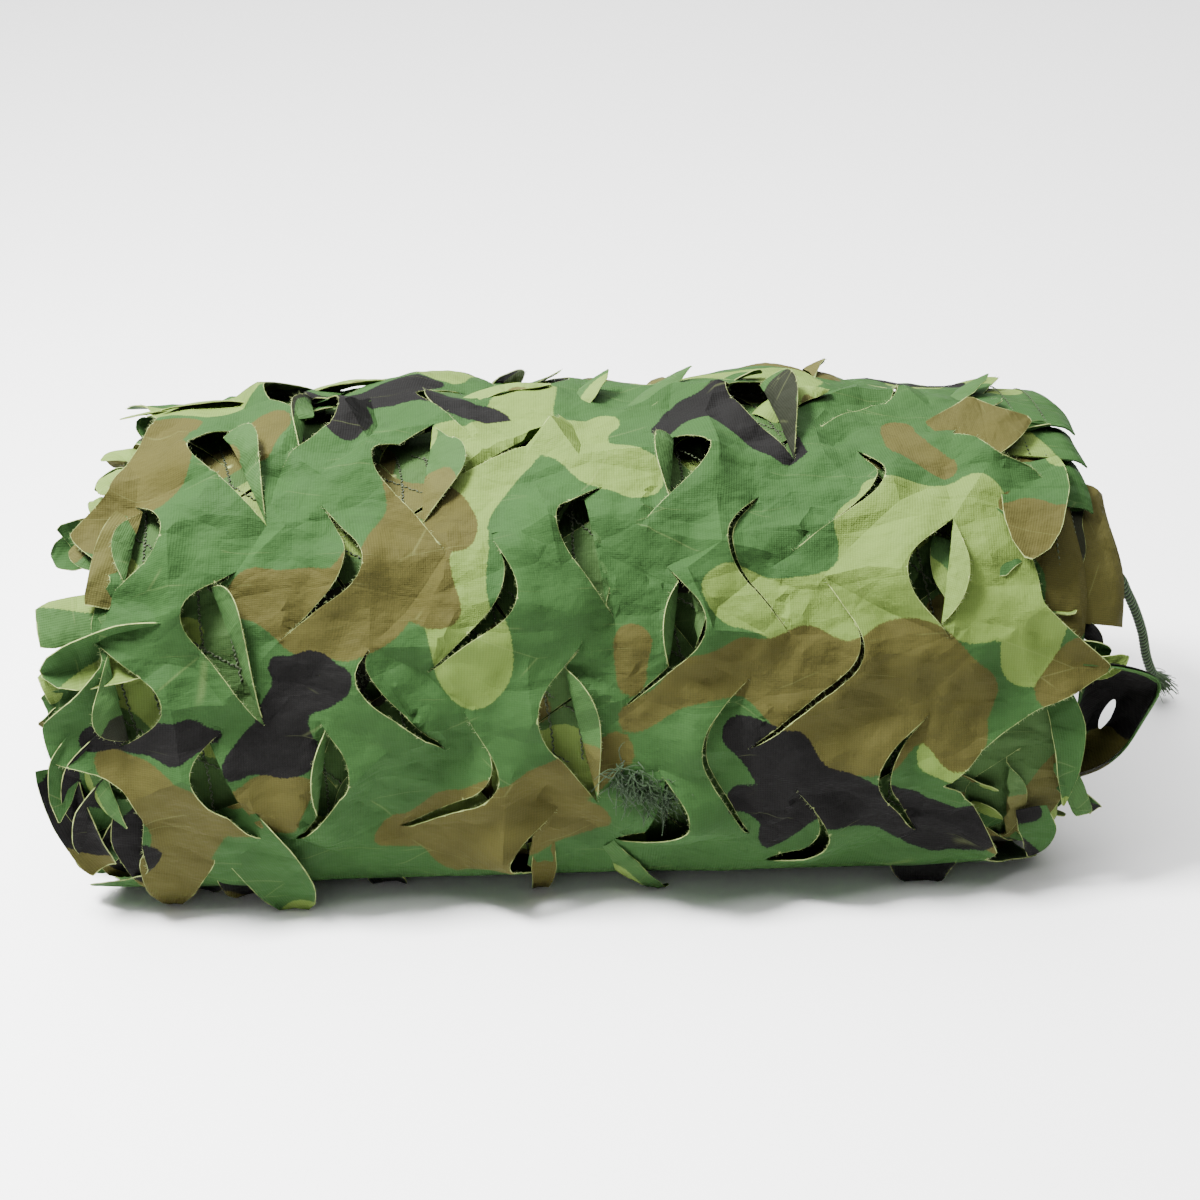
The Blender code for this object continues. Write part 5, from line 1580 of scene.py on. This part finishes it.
def build_clump(finish):
    """A tangle of threads that hangs out of a cut low on the front."""
    dealer = np.random.default_rng(3)
    share = dealer.uniform(0, 1, CLUMP_COUNT)
    (x0, s0), (x1, s1) = CLUMP_AT
    x = (x0 + share * (x1 - x0) + dealer.normal(0, CLUMP_WIDTH, CLUMP_COUNT)) * MM
    s = (s0 + share * (s1 - s0) + dealer.normal(0, CLUMP_WIDTH, CLUMP_COUNT)) * MM
    start = on_roll(x, s, -dealer.uniform(*CLUMP_ROOTS, CLUMP_COUNT) * MM)
    x = x + dealer.normal(*CLUMP_DRIFT[0], CLUMP_COUNT) * MM
    s = s + dealer.normal(*CLUMP_DRIFT[1], CLUMP_COUNT) * MM
    end = on_roll(x, s, -dealer.uniform(*CLUMP_TIPS, CLUMP_COUNT) * MM)
    middle = 0.5 * (start + end) + dealer.normal(0, CLUMP_BOW, (CLUMP_COUNT, 3)) * MM
    radii = dealer.uniform(*CLUMP_RADIUS, CLUMP_COUNT) * MM
    corners, faces = tubes(start, middle, end, radii, 4, 6)
    return add_piece("loose_threads", corners, faces, finish, sharp=0)


# ---- finishes
GREEN = (0.0225, 0.057, 0.0155)
LIGHT = (0.096, 0.146, 0.032)
BROWN = (0.049, 0.045, 0.0120)
BLACK = (0.0058, 0.0056, 0.0054)
PALE_EDGE = (0.30, 0.36, 0.13)
CORD_GREEN, CORD_WORN = (0.010, 0.024, 0.0085), (0.060, 0.115, 0.036)
CORD_GROOVE_SHADE = (0.004, 0.008, 0.003)  # painted shade in the grooves between the strands
# the reverse face: paler partly as the print's own fainter back, partly as painted glow of light
# through the thin cloth
REVERSE_TINT_AND_GLOW, REVERSE_PALE_AND_GLOW = (1.12, 1.12, 1.15), (0.24, 0.31, 0.12)
FADED = (0.22, 0.25, 0.10)
WEAVE_TINTS = (0.80, 0.80, 0.80), (1.16, 1.16, 1.14)
CLOUD_TINTS = (0.80, 0.81, 0.78), (1.20, 1.19, 1.20)
PALE_THREAD = (0.09, 0.13, 0.04), (0.26, 0.31, 0.13)  # darkest and palest fibres
STITCH_THREAD = (0.010, 0.016, 0.006), (0.05, 0.07, 0.025)
TANGLED_THREAD = (0.004, 0.011, 0.003), (0.026, 0.060, 0.016)


class Nodes:
    """Short forms for the shader nodes that the finishes share."""

    def __init__(self, name):
        self.material = bpy.data.materials.new(name)
        self.material.use_nodes = True
        self.tree = self.material.node_tree
        self.shader = self.tree.nodes["Principled BSDF"]

    def link(self, value, socket):
        """Put another node's output, a colour or a number on an input."""
        if isinstance(value, bpy.types.NodeSocket):
            self.tree.links.new(value, socket)
        elif isinstance(value, tuple) and socket.type == "RGBA":
            socket.default_value = (*value, 1.0)
        else:
            socket.default_value = value

    def node(self, kind, inputs, output=0, **settings):
        """A node with its settings and with its inputs, by name or number; gives one output."""
        node = self.tree.nodes.new("ShaderNode" + kind)
        for key, value in settings.items():
            setattr(node, key, value)
        for key, value in inputs.items():
            self.link(value, node.inputs[key])
        return node.outputs[output]

    def number(self, name):
        """One of the numbers that add_piece gives each corner."""
        return self.node("Attribute", {}, "Fac", attribute_name=name)

    def flat(self, scale=(1.0, 1.0), turn=0.0):
        """The place on the flat cloth, in metres."""
        return self.node("Mapping", {"Vector": self.node("UVMap", {}, uv_map="flat"),
                                     "Scale": (*scale, 1.0), "Rotation": (0.0, 0.0, turn)})

    def solid_place(self):
        """The place in the piece's own axes."""
        return self.node("TexCoord", {}, "Object")

    def math(self, kind, a, b):
        return self.node("Math", {0: a, 1: b}, operation=kind)

    def ramp(self, value, low, high, out_low=0.0, out_high=1.0):
        """From one number to another as the value goes from low to high, smoothly."""
        return self.node("MapRange", {0: value, 1: low, 2: high, 3: out_low, 4: out_high},
                         interpolation_type="SMOOTHSTEP")

    def mix(self, share, a, b, kind="MIX"):
        """Two colours mixed by a share, or multiplied."""
        node = self.tree.nodes.new("ShaderNodeMix")
        node.data_type, node.blend_type = "RGBA", kind
        for value, socket in zip((share, a, b), [s for s in node.inputs if s.enabled]):
            self.link(value, socket)
        return [s for s in node.outputs if s.enabled][0]

    def noise(self, place, scale, detail):
        return self.node("TexNoise", {"Vector": place, "Scale": scale, "Detail": detail}, "Fac")

    def ribs(self, place, scale, wander, along):
        return self.node("TexWave", {"Vector": place, "Scale": scale, "Distortion": wander,
                                     "Detail": 1.0, "Detail Scale": 0.4}, "Fac",
                         bands_direction=along)

    def cracks(self, place):
        """The distance to the borders between cells strewn over the cloth."""
        return self.node("TexVoronoi", {"Vector": place, "Scale": 1.0}, "Distance",
                         feature="DISTANCE_TO_EDGE")

    def bump(self, height, distance, strength, normal=None):
        below = {} if normal is None else {"Normal": normal}
        return self.node("Bump", {"Height": height, "Distance": distance, "Strength": strength,
                                  **below}, "Normal")

    def finish(self, colour, roughness, normal=None, sheen=0.0, specular=0.5):
        """Put it all on the shader."""
        self.link(colour, self.shader.inputs["Base Color"])
        self.link(roughness, self.shader.inputs["Roughness"])
        self.shader.inputs["Specular IOR Level"].default_value = specular
        self.shader.inputs["Sheen Weight"].default_value = sheen
        self.shader.inputs["Sheen Roughness"].default_value = 0.4
        if normal is not None:
            self.link(normal, self.shader.inputs["Normal"])
        return self.material


def printed_cloth(name, faded=0.0):
    """Printed polyester: four colours with crisp edges, ribs of the weave, creases, pale rims."""
    n = Nodes(name)
    cloth = n.flat()
    grain = n.noise(cloth, 900.0, 2.0)
    blur = n.ramp(grain, 0.25, 0.75, -0.35, 0.35)
    colour = GREEN
    for layer, paint in (("light", LIGHT), ("brown", BROWN), ("black", BLACK)):
        inside = n.ramp(n.math("ADD", n.number(layer), blur), -0.35, 0.35)
        colour = n.mix(inside, colour, paint)
    back = n.number("back")
    # the reverse face is lightened: partly the print's paler back, partly painted glow of light
    # through the cloth
    reverse = n.mix(0.03, n.mix(1.0, colour, REVERSE_TINT_AND_GLOW, "MULTIPLY"), REVERSE_PALE_AND_GLOW)
    colour = n.mix(n.ramp(back, 0.4, 0.6), colour, reverse)
    if faded:
        colour = n.mix(faded, colour, FADED)
    warp = n.ribs(cloth, 265.0, 1.2, "X")
    weft = n.ribs(cloth, 340.0, 1.0, "Y")
    weave = n.math("ADD", n.math("MULTIPLY", warp, 0.6), n.math("MULTIPLY", weft, 0.4))
    colour = n.mix(0.55, colour, n.mix(weave, *WEAVE_TINTS), "MULTIPLY")
    cloud = n.noise(cloth, 42.0, 4.0)
    colour = n.mix(0.5, colour, n.mix(cloud, *CLOUD_TINTS), "MULTIPLY")
    wear = n.ramp(n.noise(cloth, 33.0, 1.0), 0.50, 0.60)
    lines = n.cracks(n.flat((9.0, 38.0), 0.65))
    crease = n.math("MULTIPLY", n.ramp(lines, 0.0, 0.009, 1.0, 0.0), wear)
    colour = n.mix(n.math("MULTIPLY", crease, 0.08), colour, PALE_EDGE)
    worn = n.math("MULTIPLY", n.noise(cloth, 170.0, 3.0), 0.9)
    frayed = n.ramp(n.math("ADD", n.number("edge"), worn), 1.08, 1.50)
    colour = n.mix(n.math("MULTIPLY", frayed, 0.8), colour, PALE_EDGE)
    rough = n.ramp(cloud, 0.3, 0.7, 0.66, 0.78)
    coarse = n.bump(n.cracks(n.flat((19.0, 40.0), 0.6)), 0.008, 0.65)
    small = n.bump(n.cracks(n.flat((64.0, 40.0), 0.9)), 0.0022, 0.5, coarse)
    soft = n.bump(n.noise(n.flat((1.0, 1.6), 0.5), 34.0, 4.0), 0.0080, 0.6, small)
    fine = n.bump(weave, 0.00022, 0.55, soft)
    return n.finish(colour, rough, fine, sheen=0.0, specular=0.06)


def loose_thread(name, dark, pale):
    """Thread that is a little lighter and darker from fibre to fibre."""
    n = Nodes(name)
    grain = n.noise(n.solid_place(), 300.0, 1.0)
    return n.finish(n.mix(grain, dark, pale), 0.7, sheen=0.1, specular=0.3)


def laid_cord(name):
    """Dark green cord: fine threads along it, paler and darker at random, with painted shade in the
    grooves between the strands.
    """
    n = Nodes(name)
    place = n.solid_place()
    grain = n.noise(place, 1400.0, 2.0)
    colour = n.mix(grain, CORD_GREEN, CORD_WORN)
    # painted shade: the lower a place lies between the strands, the nearer its colour comes to the
    # groove shade
    high = n.ramp(n.number("strand"), 0.30, 0.95)
    colour = n.mix(high, CORD_GROOVE_SHADE, colour)
    return n.finish(colour, 0.75, n.bump(grain, 0.0003, 0.6), sheen=0.1, specular=0.3)


# ---- stage, camera and light
CAMERA_PLACE = np.array((-0.0377, -0.9856, 0.5929))  # in the section's axes
CAMERA_TURN = math.radians(-2.5713)
CAMERA_RISE = math.radians(27.2389)
PICTURE_WIDTH = 1200.0  # in the picture's pixels, as are the next two
FOCAL_LENGTH = 2217.454
PICTURE_RAISED = 27.67
FLOOR_HALF, FLOOR_LEVEL = 6.0, -0.0003
LOOKED_AT = Vector((0.0, 0.0, 0.08))
SKY_POWER = 0.20


def build_camera():
    """The camera stands back from the bundle's front, turned and raised by the two angles."""
    data = bpy.data.cameras.new("camera")
    data.sensor_fit = "HORIZONTAL"
    data.angle = 2.0 * math.atan(0.5 * PICTURE_WIDTH / FOCAL_LENGTH)
    data.shift_y = PICTURE_RAISED / PICTURE_WIDTH
    camera = new_object("camera", data)
    back = Vector((math.sin(CAMERA_TURN) * math.cos(CAMERA_RISE),
                   -math.cos(CAMERA_TURN) * math.cos(CAMERA_RISE), math.sin(CAMERA_RISE)))
    camera.rotation_mode = "QUATERNION"
    camera.rotation_quaternion = back.to_track_quat("Z", "Y")
    camera.location = Vector(CAMERA_PLACE - MIDDLE)
    bpy.context.scene.camera = camera


def build_stage():
    """A pale plain floor."""
    finish = Nodes("studio_floor")
    finish.finish((0.97, 0.97, 0.97), 0.6, specular=0.2)
    corners = [(x * FLOOR_HALF, y * FLOOR_HALF, FLOOR_LEVEL)
               for x, y in ((-1, -1), (1, -1), (1, 1), (-1, 1))]
    mesh = bpy.data.meshes.new("studio_floor")
    mesh.from_pydata(corners, [], [(0, 1, 2, 3)])
    floor = new_object("studio_floor", mesh)
    mesh.materials.append(finish.material)


LIGHTS = (
    # name, place, size and power of each soft box; all of them look at the bundle
    ("top_box", (-0.3, 0.9, 2.4), 4.5, 300.0),
    ("key_box", (-0.6, -0.15, 1.25), 0.35, 80.0),
    ("front_box", (-1.0, -2.0, 0.9), 1.2, 2.5),
)


def build_lights():
    """Soft boxes, and an even pale sky."""
    for name, place, size, power in LIGHTS:
        data = bpy.data.lights.new(name, "AREA")
        data.size = size
        data.energy = power
        light = new_object(name, data)
        light.location = place
        light.rotation_mode = "QUATERNION"
        light.rotation_quaternion = (Vector(place) - LOOKED_AT).to_track_quat("Z", "Y")
    world = bpy.data.worlds.new("studio")
    world.use_nodes = True
    sky = world.node_tree.nodes["Background"].inputs
    sky["Color"].default_value = (1.0, 1.0, 1.0, 1.0)
    sky["Strength"].default_value = SKY_POWER
    bpy.context.scene.world = world


def build_all():
    """Every piece in turn, then the stage and the lights."""
    build_camera()
    build_cord(laid_cord("cord_green"))
    net_finish = printed_cloth("net_cloth_print")
    inner_finish = printed_cloth("inner_cloth_print", faded=0.05)
    hem_finish = printed_cloth("hem_cloth_print")
    leaf, cuts, lips = build_leaf_cloth(net_finish)
    under = build_under_cloth(inner_finish)
    folded = build_folded_layers(inner_finish)
    leaves = build_loose_leaves(net_finish)
    hems = build_hems(hem_finish)
    corner = build_corner(hem_finish)
    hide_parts("rolled_net")
    fuzz = build_fuzz(lips, loose_thread("pale_thread", *PALE_THREAD))
    stitches = build_stitches(cuts, loose_thread("stitch_thread", *STITCH_THREAD))
    clump = build_clump(loose_thread("tangled_thread", *TANGLED_THREAD))
    build_stage()
    build_lights()


build_all()
bpy.context.view_layer.update()
